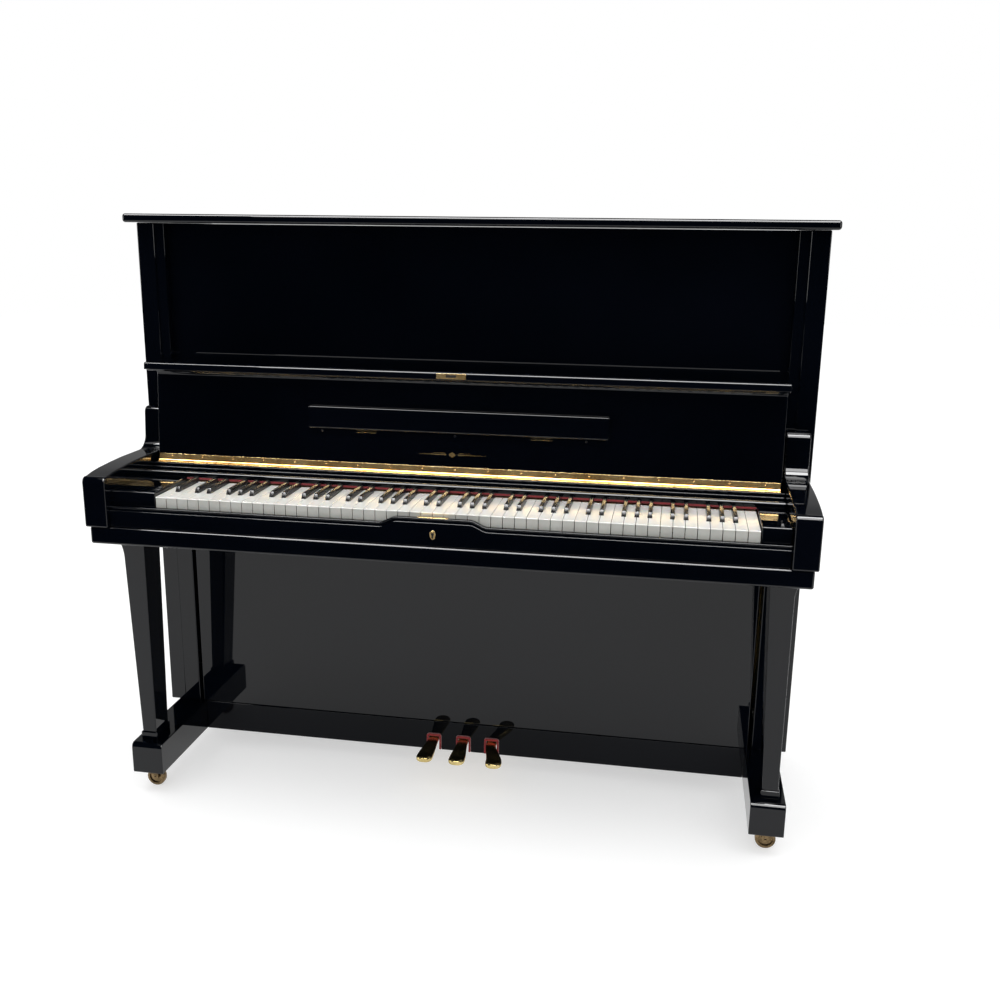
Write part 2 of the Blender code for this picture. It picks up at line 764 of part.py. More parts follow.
def fallboard_hinge():
    """The fixed half of the long brass hinge: its knuckle on a leaf that lies on the rail."""
    half = FALLBOARD_HALF - HINGE_END
    knuckle = cylinder("fallboard_hinge", HINGE_RADIUS, -half, half, "X", (HINGE_Y, HINGE_Z), ROUND_SIDES)
    leaf = box(
        "hinge_fixed_leaf",
        (-half, half),
        (HINGE_Y - RAIL_STEP + CLEAR, HINGE_Y + CLEAR),
        (RAIL_TOP + GAP, HINGE_Z - HINGE_RADIUS / 2),
    )
    return material(join(knuckle, leaf), BRASS)


def board_strip(name, along, out, half, finish):
    """A flat strip on the open fallboard, turning with it."""
    corners = [(along[0], out[0]), (along[1], out[0]), (along[1], out[1]), (along[0], out[1])]
    outline = [fallboard_point(*corner) for corner in corners]
    strip = plate(name, outline, "X", -half, half)
    return material(pivot(strip, (0, HINGE_Y, HINGE_Z)), finish)


def fallboard_fittings():
    """The hinge's moving leaf, the lock's strike in the lip, and the folding music desk."""
    face = -FALLBOARD_OFFSET + GAP
    leaf = (FALLBOARD_FOOT, FALLBOARD_FOOT + HINGE_LEAF)
    skin = (face, face + HINGE_LEAF_THICKNESS)
    board_strip("hinge_leaf", leaf, skin, FALLBOARD_HALF - HINGE_END, BRASS)
    lip = (FALLBOARD_LENGTH - LIP_THICKNESS + PANEL_EDGE, FALLBOARD_LENGTH - SMALL_EDGE)
    front = LIP_REACH + GAP
    skin = (front, front + HINGE_LEAF_THICKNESS)
    board_strip("lock_strike", lip, skin, STRIKE_HALF, BRASS)
    rise = (DESK_FOOT, DESK_FOOT + DESK_HEIGHT)
    desk = board_strip("music_desk", rise, (face, face + DESK_THICKNESS), DESK_HALF, LACQUER)
    y, z = fallboard_point(DESK_FOOT, face + DESK_THICKNESS)
    shift = Vector((0, y - HINGE_Y, z - HINGE_Z))
    desk.data.transform(Matrix.Translation(-shift))
    desk.location = desk.location + shift
    soften(desk, SMALL_EDGE, 2)


def fallboard_rail():
    """The rail the fallboard is hinged to, lower in front of the hinge, and the red felt strip under it."""
    front = KEY_FRONT + RAIL_FRONT_FROM_KEYS
    back = CASE_FRONT + RAIL_REACH
    step = HINGE_Y - RAIL_STEP
    ledge = RAIL_TOP - RAIL_LEDGE
    outline = [(back, RAIL_UNDER), (back, RAIL_TOP), (step, RAIL_TOP), (step, ledge)]
    outline += arc((front + RAIL_NOSE, ledge - RAIL_NOSE), RAIL_NOSE, 90, 180, 5)
    outline += [(front, RAIL_UNDER)]
    inner = ARM_INNER - CLEAR
    rail = plate("fallboard_rail", outline, "X", -inner, inner)
    material(rail, LACQUER)
    half = WHITE_PITCH * WHITE_COUNT / 2
    felt = box(
        "key_felt",
        (KEYBOARD_OFFSET - half, KEYBOARD_OFFSET + half),
        (front + GAP, front + FELT_DEPTH),
        (RAIL_UNDER - GAP - FELT_THICKNESS, RAIL_UNDER - GAP),
    )
    material(felt, FELT)


def panels():
    """The upper panel above the keys and the lower panel over the pedals."""
    half = UPPER_OPENING + PANEL_LAP
    front = CASE_FRONT + UPPER_PANEL_SETBACK
    rise = (RAIL_TOP + GAP, SIDE_TOP - CLEAR)
    upper = box("upper_panel", (-half, half), (front, front + PANEL_THICKNESS), rise)
    material(upper, LACQUER)
    half = LOWER_OPENING - PANEL_GROOVE
    front = LOWER_FRONT + LOWER_PANEL_SETBACK
    foot = SIDE_BOTTOM + CLEAR
    rise = (foot, BED_UNDER - LOWER_PANEL_HEADROOM)
    lower = box("lower_panel", (-half, half), (front, front + PANEL_THICKNESS), rise)
    soften(lower, PANEL_EDGE, 2)
    material(pivot(lower, (0, front, foot)), LACQUER)


def lid():
    """The lid's fixed rear board, the front board that folds back onto it, and the long hinge."""
    half = CASE_HALF + LID_SIDE_OVERHANG
    joint = BACK - LID_REAR_DEPTH
    axis_z = LID_TOP + LID_HINGE_RISE - LID_HINGE_RADIUS
    front_edge = CASE_FRONT - LID_FRONT_OVERHANG
    thick = (LID_UNDER, LID_TOP)
    near = box("lid_front", (-half, half), (front_edge, joint - LID_JOINT_GAP / 2), thick)
    soften(near, LID_EDGE, 3)
    material(pivot(near, (0, joint, axis_z)), LACQUER)
    rear = box("lid_rear", (-half, half), (joint + LID_JOINT_GAP / 2, BACK), thick)
    material(soften(rear, LID_EDGE, 3), LACQUER)
    end = half - LID_HINGE_INSET
    hinge = cylinder("lid_hinge", LID_HINGE_RADIUS, -end, end, "X", (joint, axis_z), ROUND_SIDES)
    material(hinge, BRASS)


def back_frame():
    """The back: upright posts between a foot beam and a head beam that holds the tuning pins."""
    half = SIDE_INNER - CLEAR
    front = BACK - BACK_POST_DEPTH
    low, high = TOE_TOP + BACK_FRAME_RELIEF, SIDE_TOP - BACK_FRAME_RELIEF
    head = box("back_frame", (-half, half), (front, BACK - CLEAR), (high - BACK_BEAM_HEIGHT, high))
    foot = box("back_foot", (-half, half), (front, BACK - CLEAR), (low, low + BACK_BEAM_HEIGHT))
    posts = []
    for index in range(POST_COUNT):
        x = -half + index * (2 * half - BACK_POST_WIDTH) / (POST_COUNT - 1)
        posts.append(
            box(
                f"back_post_{index}",
                (x, x + BACK_POST_WIDTH),
                (front, BACK - CLEAR),
                (low + BACK_BEAM_HEIGHT - EMBED, high - BACK_BEAM_HEIGHT + EMBED),
            )
        )
    material(join(head, foot, *posts), WOOD)


def soundboard_and_plate():
    """The soundboard on the posts, and the iron plate with its bars in front of it."""
    half = SIDE_INNER - PLATE_SIDE_CLEARANCE
    back = BACK - BACK_POST_DEPTH - GAP
    rise = (TOE_TOP + SOUNDBOARD_FOOT, SIDE_TOP - BACK_BEAM_HEIGHT + SOUNDBOARD_LAP)
    board = box("soundboard", (-half, half), (back - SOUNDBOARD_THICKNESS, back), rise)
    material(board, WOOD)
    face = PLATE_FRONT + PLATE_THICKNESS
    low, high = TOE_TOP + PLATE_FOOT, SIDE_TOP - PLATE_HEADROOM
    sheet = face - SHEET_THICKNESS
    raised = (PLATE_FRONT, sheet + CLEAR)
    iron = box("iron_plate", (-half, half), (sheet, face), (low, high))
    ribs = []
    inner = (PLATE_FRONT + CLEAR, sheet + CLEAR)
    for index, x in enumerate((-half + CLEAR, *PLATE_BAR_X, half - PLATE_BAR - CLEAR)):
        ribs.append(box(f"plate_bar_{index}", (x, x + PLATE_BAR), inner, (low + EMBED, high - EMBED)))
    end = half - 2 * CLEAR
    top = box("plate_top_rim", (-end, end), raised, (high - PLATE_TOP_RIM, high - CLEAR))
    foot = box("plate_foot_rim", (-end, end), raised, (low + CLEAR, low + PLATE_FOOT_RIM))
    material(join(iron, top, foot, *ribs), IRON)


def tooth(middle, width, root, tip):
    """One tooth of a comb's outline, drawn from right to left."""
    return [
        (middle + width / 2, root),
        (middle + width / 2, tip),
        (middle - width / 2, tip),
        (middle - width / 2, root),
    ]


def strings():
    """The strings as one harp: each note's unison is a flat strip that rises from the lower bearing bar."""
    half = ACTION_HALF
    low, high = TOE_TOP + STRING_FOOT, SIDE_TOP - STRING_HEADROOM
    bar = STRING_BAR
    pitch = 2 * half / STRING_COUNT
    width = STRING_WIDTH
    outline = [(-half, low), (half, low)]
    for index in range(STRING_COUNT - 1, -1, -1):
        middle = -half + (index + 0.5) * pitch
        outline += tooth(middle, width, low + bar, high)
    outline.append((-half, low + bar))
    material(plate("strings", outline, "Y", STRING_FRONT, STRING_BACK), STEEL)


def action_frame():
    """Four brackets on the keybed that carry the rail the hammers turn on."""
    front = ACTION_FRONT
    under = BED_TOP + GAP
    foot_back = CASE_FRONT + BED_REACH - EMBED
    depth, height = ACTION_RAIL
    rail_z = HAMMER_PIVOT_Z - ACTION_RAIL_DROP
    rail_y = HAMMER_PIVOT_Y - HAMMER_HEAD_LINE
    half = ACTION_HALF + ACTION_END
    rail = box("action_frame", (-half, half), (rail_y, rail_y + depth), (rail_z, rail_z + height))
    thick = BRACKET_THICKNESS
    brackets = []
    for index, x in enumerate((-half, -BRACKET_X, BRACKET_X, half - thick)):
        outline = [
            (front, under),
            (foot_back, under),
            (foot_back, BED_TOP + BRACKET_HEEL),
            (rail_y + depth - CLEAR, BED_TOP + BRACKET_WAIST),
            (rail_y + depth - CLEAR, rail_z + EMBED),
            (rail_y + CLEAR, rail_z + EMBED),
            (front, BED_TOP + BRACKET_TOE),
        ]
        brackets.append(plate(f"action_bracket_{index}", outline, "X", x, x + thick))
    material(join(rail, *brackets), IRON)


def hammers():
    """The row of hammers at rest, turning on one line above the action's rail."""
    half = ACTION_HALF
    pitch = 2 * half / HAMMER_COUNT
    y, z = HAMMER_PIVOT_Y, HAMMER_PIVOT_Z
    butt = BUTT_HALF
    bar = box("hammers", (-half, half), (y - butt, y + butt), (z - butt, z + butt))
    tip = z + HAMMER_LENGTH
    base = tip - HAMMER_HEAD_HEIGHT
    root = base + HEAD_ROOT
    end = half - CLEAR
    shanks = box("hammer_shanks", (-end, end), (y - SHANK / 2, y + SHANK / 2), (z, base + HEAD_ROOT / 2))
    outline = [(-end, base), (end, base), (end, root)]
    for index in range(HAMMER_COUNT - 1, -1, -1):
        middle = -half + (index + 0.5) * pitch
        outline += tooth(middle, HAMMER_HEAD_WIDTH, root, tip)
    outline.append((-end, root))
    back = y - HEAD_SETBACK
    heads = plate("hammer_heads", outline, "Y", back, back + HAMMER_HEAD_DEPTH)
    material(pivot(join(bar, shanks, heads), (0, y, z)), HAMMER_FELT)


def action_rails():
    """The hammer rest rail, the dampers on their rail, and the practice rail with its felt."""
    half = ACTION_HALF
    y, z = HAMMER_PIVOT_Y, HAMMER_PIVOT_Z
    end = half + HAMMER_HEAD_LINE
    rail_z = z + REST_RAIL_RISE
    back = y - SHANK / 2 - CLEAR
    rest = box(
        "hammer_rail", (-end, end), (back - REST_RAIL_DEPTH, back), (rail_z, rail_z + RAIL_BAR)
    )
    arms = []
    for index, x in enumerate((-end + REST_ARM, end - 2 * REST_ARM)):
        arms.append(
            box(
                f"rest_arm_{index}",
                (x, x + REST_ARM),
                (back - BUTT_HALF, back - CLEAR),
                (z - BUTT_HALF, rail_z + EMBED),
            )
        )
    material(pivot(join(rest, *arms), (0, y, z)), WOOD)
    face = STRING_FRONT - DAMPER_CLEARANCE
    pitch = 2 * half / HAMMER_COUNT
    low, high = z - DAMPER_DROP, z + DAMPER_RISE
    root = low + DAMPER_ROOT
    outline = [(-half, low), (-half + DAMPED_NOTES * pitch, low)]
    for index in range(DAMPED_NOTES - 1, -1, -1):
        outline += tooth(-half + (index + 0.5) * pitch, DAMPER_WIDTH, root, high)
    outline.append((-half, root))
    dampers = plate("dampers", outline, "Y", face - DAMPER_THICKNESS, face)
    axis = (0, face - DAMPER_THICKNESS / 2, low + DAMPER_ROOT / 2)
    material(pivot(dampers, axis), WOOD)
    foot = z + HAMMER_LENGTH + MUFFLER_RISE
    back = STRING_FRONT - DAMPER_ROOT
    muffler = box(
        "muffler_rail", (-half, half), (back - MUFFLER_THICKNESS, back), (foot, foot + MUFFLER_HEIGHT)
    )
    material(muffler, FELT)


def bottom_board():
    """The floor of the case with the plinth in front of it, notched for the pedals."""
    half = TOE_INNER - GAP
    top = BOTTOM_BOARD_UNDER + BOTTOM_BOARD_THICKNESS
    floor = box(
        "bottom_board",
        (-half, half),
        (PLINTH_FRONT + PLINTH_THICKNESS - EMBED / 2, BACK - EMBED),
        (BOTTOM_BOARD_UNDER, top),
    )
    plinth = box(
        "plinth", (-half, half), (PLINTH_FRONT, PLINTH_FRONT + PLINTH_THICKNESS), (TOE_BOTTOM, TOE_TOP)
    )
    slots = []
    for name, x in zip(PEDAL_NAMES, PEDAL_X):
        slots.append(
            box(
                f"pedal_slot_{name}",
                (x - PEDAL_SLOT_WIDTH / 2, x + PEDAL_SLOT_WIDTH / 2),
                (PLINTH_FRONT - EMBED, PLINTH_FRONT + PLINTH_THICKNESS + CLEAR),
                (TOE_BOTTOM - EMBED, PEDAL_SLOT_TOP),
            )
        )
    margin, depth, gap = PEDAL_BLOCK
    start = PLINTH_FRONT + PEDAL_PIVOT_FROM_FRONT + gap
    block = box(
        "pedal_block",
        (PEDAL_X[0] - margin, PEDAL_X[2] + margin),
        (start, start + depth),
        (TOE_BOTTOM + gap, BOTTOM_BOARD_UNDER + EMBED),
    )
    material(join(floor, cut(plinth, *slots), block), LACQUER)


def pedals():
    """Three brass pedals, wider towards their toes, each hinged at its rear end."""
    pivot_y = PLINTH_FRONT + PEDAL_PIVOT_FROM_FRONT
    middle_z = PEDAL_TOP - PEDAL_THICKNESS / 2
    toe_y = PLINTH_FRONT - PEDAL_REACH
    for name, x, flare in zip(PEDAL_NAMES, PEDAL_X, PEDAL_FLARE):
        neck = PEDAL_NECK / 2
        wide = PEDAL_TOE / 2
        right, left = [], []
        steps = 8
        for step in range(steps + 1):
            share = step / steps
            y = PLINTH_FRONT - PEDAL_REACH * share * PEDAL_EASE
            ease = share * share * (3 - 2 * share)
            half = neck + (wide - neck) * ease
            shift = flare * ease
            right.append((x + shift + half, y))
            left.append((x + shift - half, y))
        nose = []
        for across, out in arc((0.0, 0.0), 1.0, -35, -145, 6):
            nose.append((x + flare + across * (wide - CLEAR), toe_y + PEDAL_NOSE * (1 + out)))
        outline = [(x + neck, pivot_y)] + right + nose + left[::-1] + [(x - neck, pivot_y)]
        lever = plate(f"pedal_{name}", outline, "Z", PEDAL_TOP - PEDAL_THICKNESS, PEDAL_TOP)
        soften(lever, SMALL_EDGE, 2)
        material(pivot(lever, (x, pivot_y, middle_z)), BRASS)


def trapwork():
    """A lever above the bottom board for each pedal, and the upright rod that its far end lifts."""
    low = BOTTOM_BOARD_UNDER + BOTTOM_BOARD_THICKNESS + LEVER_RISE
    depth, height = LEVER_SECTION
    rod_foot = low + height + GAP
    for name, x, rod_x, step, drop in zip(
        PEDAL_NAMES, PEDAL_X, ROD_X, LEVER_BEHIND_KEYS, ROD_TOP_DROP
    ):
        y = KEY_BACK + step
        lever = box(
            f"trap_lever_{name}",
            (rod_x - LEVER_END, x + LEVER_TIP),
            (y - depth / 2, y + depth / 2),
            (low, low + height),
        )
        material(pivot(lever, (LEVER_PIVOT_X, y, low + height / 2)), WOOD)
        top = HAMMER_PIVOT_Z - drop
        rod = cylinder(f"pedal_rod_{name}", ROD_RADIUS, rod_foot, top, "Z", (rod_x, y), ROUND_SIDES)
        material(rod, WOOD)


def casters():
    """Four casters under the toes: a fixed fork and a wheel that rolls along the piano's length."""
    middle = (TOE_INNER + TOE_OUTER) / 2 + CASTER_OFFSET
    places = {
        "front_left": (-middle, TOE_FRONT + CASTER_SETBACK),
        "front_right": (middle, TOE_FRONT + CASTER_SETBACK),
        "rear_left": (-middle, BACK - CASTER_SETBACK),
        "rear_right": (middle, BACK - CASTER_SETBACK),
    }
    width, depth, thick = CASTER_PLATE
    top = TOE_BOTTOM - GAP
    inside = WHEEL_WIDTH / 2 + CLEAR
    for name, (x, y) in places.items():
        fork = box(
            f"caster_fork_{name}",
            (x - width / 2, x + width / 2),
            (y - depth / 2, y + depth / 2),
            (top - thick, top),
        )
        cheeks = []
        for index, side in enumerate((-1, 1)):
            reach = mirrored(side, (inside, inside + FORK_WALL))
            cheeks.append(
                box(
                    f"cheek_{index}_{name}",
                    (x - CHEEK_WIDTH / 2, x + CHEEK_WIDTH / 2),
                    (y + reach[0], y + reach[1]),
                    (WHEEL_RADIUS - CHEEK_DROP, top - thick + CLEAR),
                )
            )
        axle = cylinder(
            f"axle_{name}",
            AXLE_RADIUS,
            y - inside - FORK_WALL - CLEAR,
            y + inside + FORK_WALL + CLEAR,
            "Y",
            (x, WHEEL_RADIUS),
            ROUND_SIDES,
        )
        material(join(fork, axle, *cheeks), BRASS)
        wheel = cylinder(
            f"caster_wheel_{name}",
            WHEEL_RADIUS / math.cos(math.pi / WHEEL_SIDES),
            y - WHEEL_WIDTH / 2,
            y + WHEEL_WIDTH / 2,
            "Y",
            (x, WHEEL_RADIUS),
            WHEEL_SIDES,
        )
        hole = cylinder(
            f"wheel_hole_{name}",
            AXLE_RADIUS + AXLE_CLEARANCE,
            y - WHEEL_WIDTH,
            y + WHEEL_WIDTH,
            "Y",
            (x, WHEEL_RADIUS),
            ROUND_SIDES,
        )
        cut(wheel, hole)
        pivot(hole, (x, y, WHEEL_RADIUS))
        material(pivot(wheel, (x, y, WHEEL_RADIUS)), BRASS)


def build():
    clear_scene()
    for side, word in ((-1, "left"), (1, "right")):
        side_board(side, f"side_board_{word}")
        toe(side, f"toe_{word}")
        leg(side, f"leg_{word}")
        arm(side, f"arm_{word}")
    key_bed()
    key_slip()
    lock_plate()
    key_blocks()
    key_frame()
    keyboard()
    fallboard()
    fallboard_hinge()
    fallboard_fittings()
    fallboard_rail()
    panels()
    lid()
    back_frame()
    soundboard_and_plate()
    strings()
    action_frame()
    hammers()
    action_rails()
    bottom_board()
    pedals()
    trapwork()
    casters()


build()
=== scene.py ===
"""Finished upright piano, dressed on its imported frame.

Metres, +Z up, the player at -Y. Every piece keeps its place in its own mesh
and rides on a body of the frame.
"""

import logging
import math
from dataclasses import dataclass
from enum import Enum
from typing import Iterable, Mapping, Sequence

import bmesh
import bpy
from mathutils import Matrix, Vector


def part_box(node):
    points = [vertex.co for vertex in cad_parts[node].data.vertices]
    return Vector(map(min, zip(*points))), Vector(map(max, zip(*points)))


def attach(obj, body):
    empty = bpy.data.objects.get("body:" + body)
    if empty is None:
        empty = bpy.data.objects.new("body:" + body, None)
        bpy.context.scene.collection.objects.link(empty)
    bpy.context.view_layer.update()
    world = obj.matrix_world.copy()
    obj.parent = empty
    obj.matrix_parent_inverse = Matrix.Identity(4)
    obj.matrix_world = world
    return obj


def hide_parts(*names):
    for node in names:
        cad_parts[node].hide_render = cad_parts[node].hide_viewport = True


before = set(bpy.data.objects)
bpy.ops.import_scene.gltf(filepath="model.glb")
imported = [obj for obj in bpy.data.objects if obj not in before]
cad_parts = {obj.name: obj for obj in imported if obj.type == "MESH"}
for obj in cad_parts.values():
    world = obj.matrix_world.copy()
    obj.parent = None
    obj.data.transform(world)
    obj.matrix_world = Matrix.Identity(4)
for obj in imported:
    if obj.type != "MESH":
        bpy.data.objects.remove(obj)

LOG = logging.getLogger("upright_piano")
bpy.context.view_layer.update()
CASE = "case"

Colour = tuple[float, float, float]
Point = tuple[float, float]
Span = tuple[float, float]


class Axis(Enum):
    """The axis a flat outline is thickened along."""

    X = "X"
    Y = "Y"
    Z = "Z"


class Side(Enum):
    """The bass or the treble side of the case."""

    LEFT = -1
    RIGHT = 1

    @property
    def word(self) -> str:
        """The side's name in node names."""
        return self.name.lower()


# ---------------------------------------------------------------- finishes


class Shader:
    """A material's node tree, with short calls for what the finishes share."""

    def __init__(self, name: str) -> None:
        """Start a Principled material.

        Args:
            name: the material's name.
        """
        self.material = bpy.data.materials.new(name)
        self.material.use_nodes = True
        tree = self.material.node_tree
        self.nodes, self.links = tree.nodes, tree.links
        self.surface = self.nodes["Principled BSDF"]
        self.place = self.nodes.new("ShaderNodeTexCoord").outputs["Object"]

    def set(self, **values: object) -> None:
        """Set the Principled sockets, named with underscores for spaces."""
        for name, value in values.items():
            self.surface.inputs[name.replace("_", " ")].default_value = value

    def stretched(self, stretch: Sequence[float], turn: Sequence[float] = (0, 0, 0)) -> object:
        """Object coordinates scaled along each axis.

        Args:
            stretch: the factor along X, Y and Z.
            turn: the rotation in radians before scaling.

        Returns:
            The vector socket.
        """
        mapping = self.nodes.new("ShaderNodeMapping")
        mapping.inputs["Scale"].default_value = tuple(stretch)
        mapping.inputs["Rotation"].default_value = tuple(turn)
        self.links.new(self.place, mapping.inputs["Vector"])
        return mapping.outputs["Vector"]

    def noise(
        self, scale: float, detail: float = 2.0, stretch: Sequence[float] = (1, 1, 1),
        warp: float = 0.0
    ) -> object:
        """A noise value on the piece.

        Args:
            scale: cells per metre.
            detail: octaves.
            stretch: the factor along X, Y and Z.
            warp: the distortion.

        Returns:
            The value socket.
        """
        node = self.nodes.new("ShaderNodeTexNoise")
        node.inputs["Scale"].default_value = scale
        node.inputs["Detail"].default_value = detail
        node.inputs["Distortion"].default_value = warp
        self.links.new(self.stretched(stretch), node.inputs["Vector"])
        return node.outputs["Fac"]

    def wave(
        self, scale: float, direction: str, warp: float = 0.0, stretch: Sequence[float] = (1, 1, 1)
    ) -> object:
        """Bands across one direction, such as growth rings or wound wire.

        Args:
            scale: bands per metre, roughly.
            direction: the axis across the bands.
            warp: the distortion.
            stretch: the factor along X, Y and Z.

        Returns:
            The value socket.
        """
        node = self.nodes.new("ShaderNodeTexWave")
        node.bands_direction = direction
        node.inputs["Scale"].default_value = scale
        node.inputs["Distortion"].default_value = warp
        node.inputs["Detail"].default_value = 2.0
        self.links.new(self.stretched(stretch), node.inputs["Vector"])
        return node.outputs["Fac"]

    def blend(self, first: object, second: object, share: float = 0.5) -> object:
        """Mix two value sockets by a fixed share.

        Args:
            first: one value socket.
            second: the other.
            share: the second one's share.

        Returns:
            The mixed value socket.
        """
        node = self.nodes.new("ShaderNodeMix")
        node.inputs[0].default_value = share
        self.links.new(first, node.inputs[2])
        self.links.new(second, node.inputs[3])
        return node.outputs[0]

    def colour(
        self, value: object, dark: Colour, light: Colour, low: float = 0.3, high: float = 0.7
    ) -> None:
        """Drive the base colour between two colours.

        Args:
            value: the value socket that chooses between them.
            dark: the colour at the low end.
            light: the colour at the high end.
            low: where the dark end stops.
            high: where the light end starts.
        """
        ramp = self.nodes.new("ShaderNodeValToRGB")
        ramp.color_ramp.elements[0].position = low
        ramp.color_ramp.elements[0].color = (*dark, 1.0)
        ramp.color_ramp.elements[1].position = high
        ramp.color_ramp.elements[1].color = (*light, 1.0)
        self.links.new(value, ramp.inputs["Fac"])
        self.links.new(ramp.outputs["Color"], self.surface.inputs["Base Color"])

    def roughness(self, value: object, low: float, high: float) -> None:
        """Drive the roughness between two values.

        Args:
            value: the value socket that chooses between them.
            low: the smoothest.
            high: the roughest.
        """
        node = self.nodes.new("ShaderNodeMapRange")
        node.inputs["From Min"].default_value = 0.25
        node.inputs["From Max"].default_value = 0.75
        node.inputs["To Min"].default_value = low
        node.inputs["To Max"].default_value = high
        self.links.new(value, node.inputs["Value"])
        self.links.new(node.outputs["Result"], self.surface.inputs["Roughness"])

    def bump(self, value: object, distance: float, strength: float = 1.0) -> None:
        """Raise the surface by a value, on top of any bump set before.

        Args:
            value: the value socket.
            distance: the height in metres.
            strength: how much of it shows.
        """
        node = self.nodes.new("ShaderNodeBump")
        node.inputs["Distance"].default_value = distance
        node.inputs["Strength"].default_value = strength
        self.links.new(value, node.inputs["Height"])
        before = self.surface.inputs["Normal"].links
        if before:
            self.links.new(before[0].from_socket, node.inputs["Normal"])
        self.links.new(node.outputs["Normal"], self.surface.inputs["Normal"])


class Finish:
    """A named finish, whose material is made once and shared."""

    made: dict[str, bpy.types.Material] = {}
    name: str

    def paint(self, shader: Shader) -> None:
        """Set up the shader's nodes."""
        raise NotImplementedError

    def material(self) -> bpy.types.Material:
        """The finish's material, made on first use.

        Returns:
            The material.
        """
        if self.name not in Finish.made:
            shader = Shader(self.name)
            self.paint(shader)
            Finish.made[self.name] = shader.material
        return Finish.made[self.name]


@dataclass(frozen=True)
class Lacquer(Finish):
    """Polished polyester: a mirror-flat near-black coat with faint haze and long waves."""

    name: str = "black_polyester"
    dark: Colour = (0.0004, 0.0009, 0.0020)
    light: Colour = (0.0012, 0.0018, 0.0036)
    haze: Span = (0.012, 0.032)
    waves: float = 0.00010
    glass: float = 1.39

    def paint(self, shader: Shader) -> None:
        """Set up the shader's nodes.

        Args:
            shader: the shader of the new material.
        """
        shader.set(IOR=self.glass, Specular_IOR_Level=0.5)
        shader.colour(shader.noise(2.4, 3.0), self.dark, self.light)
        shader.roughness(shader.noise(38.0, 5.0, (1, 1, 0.35)), *self.haze)
        shader.bump(shader.noise(5.5, 1.0), self.waves)
        shader.bump(shader.noise(1300.0, 2.0), 0.0000015)


@dataclass(frozen=True)
class Brass(Finish):
    """Polished brass with fine rubbing marks and a little tarnish."""

    name: str = "polished_brass"
    dark: Colour = (0.62, 0.40, 0.15)
    light: Colour = (0.88, 0.66, 0.33)
    haze: Span = (0.10, 0.24)
    grain: Sequence[float] = (0.12, 1.0, 1.0)
    metal: float = 0.82
    rub: float = 0.00001

    def paint(self, shader: Shader) -> None:
        """Set up the shader's nodes.

        Args:
            shader: the shader of the new material.
        """
        shader.set(Metallic=self.metal)
        stain = shader.blend(shader.noise(26.0, 4.0), shader.noise(240.0, 3.0), 0.4)
        shader.colour(stain, self.dark, self.light, 0.36, 0.62)
        marks = shader.noise(900.0, 3.0, self.grain)
        shader.roughness(shader.blend(stain, marks, 0.5), *self.haze)
        shader.bump(marks, self.rub)


@dataclass(frozen=True)
class KeyTop(Finish):
    """Moulded acrylic of the white keys."""

    name: str = "white_acrylic"
    dark: Colour = (0.80, 0.79, 0.74)
    light: Colour = (0.88, 0.875, 0.845)

    def paint(self, shader: Shader) -> None:
        """Set up the shader's nodes.

        Args:
            shader: the shader of the new material.
        """
        shader.set(IOR=1.49, Subsurface_Weight=0.06, Subsurface_Scale=0.004)
        shader.colour(shader.noise(30.0, 3.0, (1, 0.3, 1)), self.dark, self.light)
        shader.roughness(shader.noise(160.0, 4.0), 0.13, 0.24)
        shader.bump(shader.noise(900.0, 2.0), 0.000004)


@dataclass(frozen=True)
class Ebony(Finish):
    """The matt black of the sharps, with grain along the key."""

    name: str = "ebony_sharp"

    def paint(self, shader: Shader) -> None:
        """Set up the shader's nodes.

        Args:
            shader: the shader of the new material.
        """
        grain = shader.noise(420.0, 4.0, (1, 0.05, 1))
        shader.colour(grain, (0.006, 0.006, 0.007), (0.020, 0.019, 0.018))
        shader.roughness(grain, 0.20, 0.34)
        shader.bump(grain, 0.000012)


@dataclass(frozen=True)
class Felt(Finish):
    """Pressed or woven wool felt."""

    name: str = "red_felt"
    dark: Colour = (0.11, 0.003, 0.005)
    light: Colour = (0.27, 0.010, 0.014)

    def paint(self, shader: Shader) -> None:
        """Set up the shader's nodes.

        Args:
            shader: the shader of the new material.
        """
        fibre = shader.blend(
            shader.noise(1500.0, 4.0, (1, 0.4, 1), 0.6), shader.noise(300.0, 3.0), 0.35
        )
        shader.set(Sheen_Weight=0.5, Sheen_Roughness=0.5, Specular_IOR_Level=0.2)
        shader.colour(fibre, self.dark, self.light, 0.36, 0.66)
        shader.roughness(fibre, 0.86, 0.98)
        shader.bump(fibre, 0.0004)


@dataclass(frozen=True)
class Timber(Finish):
    """Plain timber with rings and pores along one axis."""

    name: str = "spruce"
    dark: Colour = (0.62, 0.44, 0.25)
    light: Colour = (0.74, 0.55, 0.33)
    along: Axis = Axis.Z
    rings: float = 26.0
    haze: Span = (0.45, 0.62)

    def paint(self, shader: Shader) -> None:
        """Set up the shader's nodes.

        Args:
            shader: the shader of the new material.
        """
        stretch = {Axis.X: (0.04, 1, 1), Axis.Y: (1, 0.04, 1), Axis.Z: (1, 1, 0.04)}[self.along]
        across = "Y" if self.along is Axis.X else "X"
        rings = shader.wave(self.rings, across, 3.5, stretch)
        pores = shader.noise(420.0, 4.0, stretch)
        shader.colour(shader.blend(rings, pores, 0.45), self.dark, self.light, 0.15, 0.85)
        shader.roughness(pores, *self.haze)
        shader.bump(pores, 0.00008)


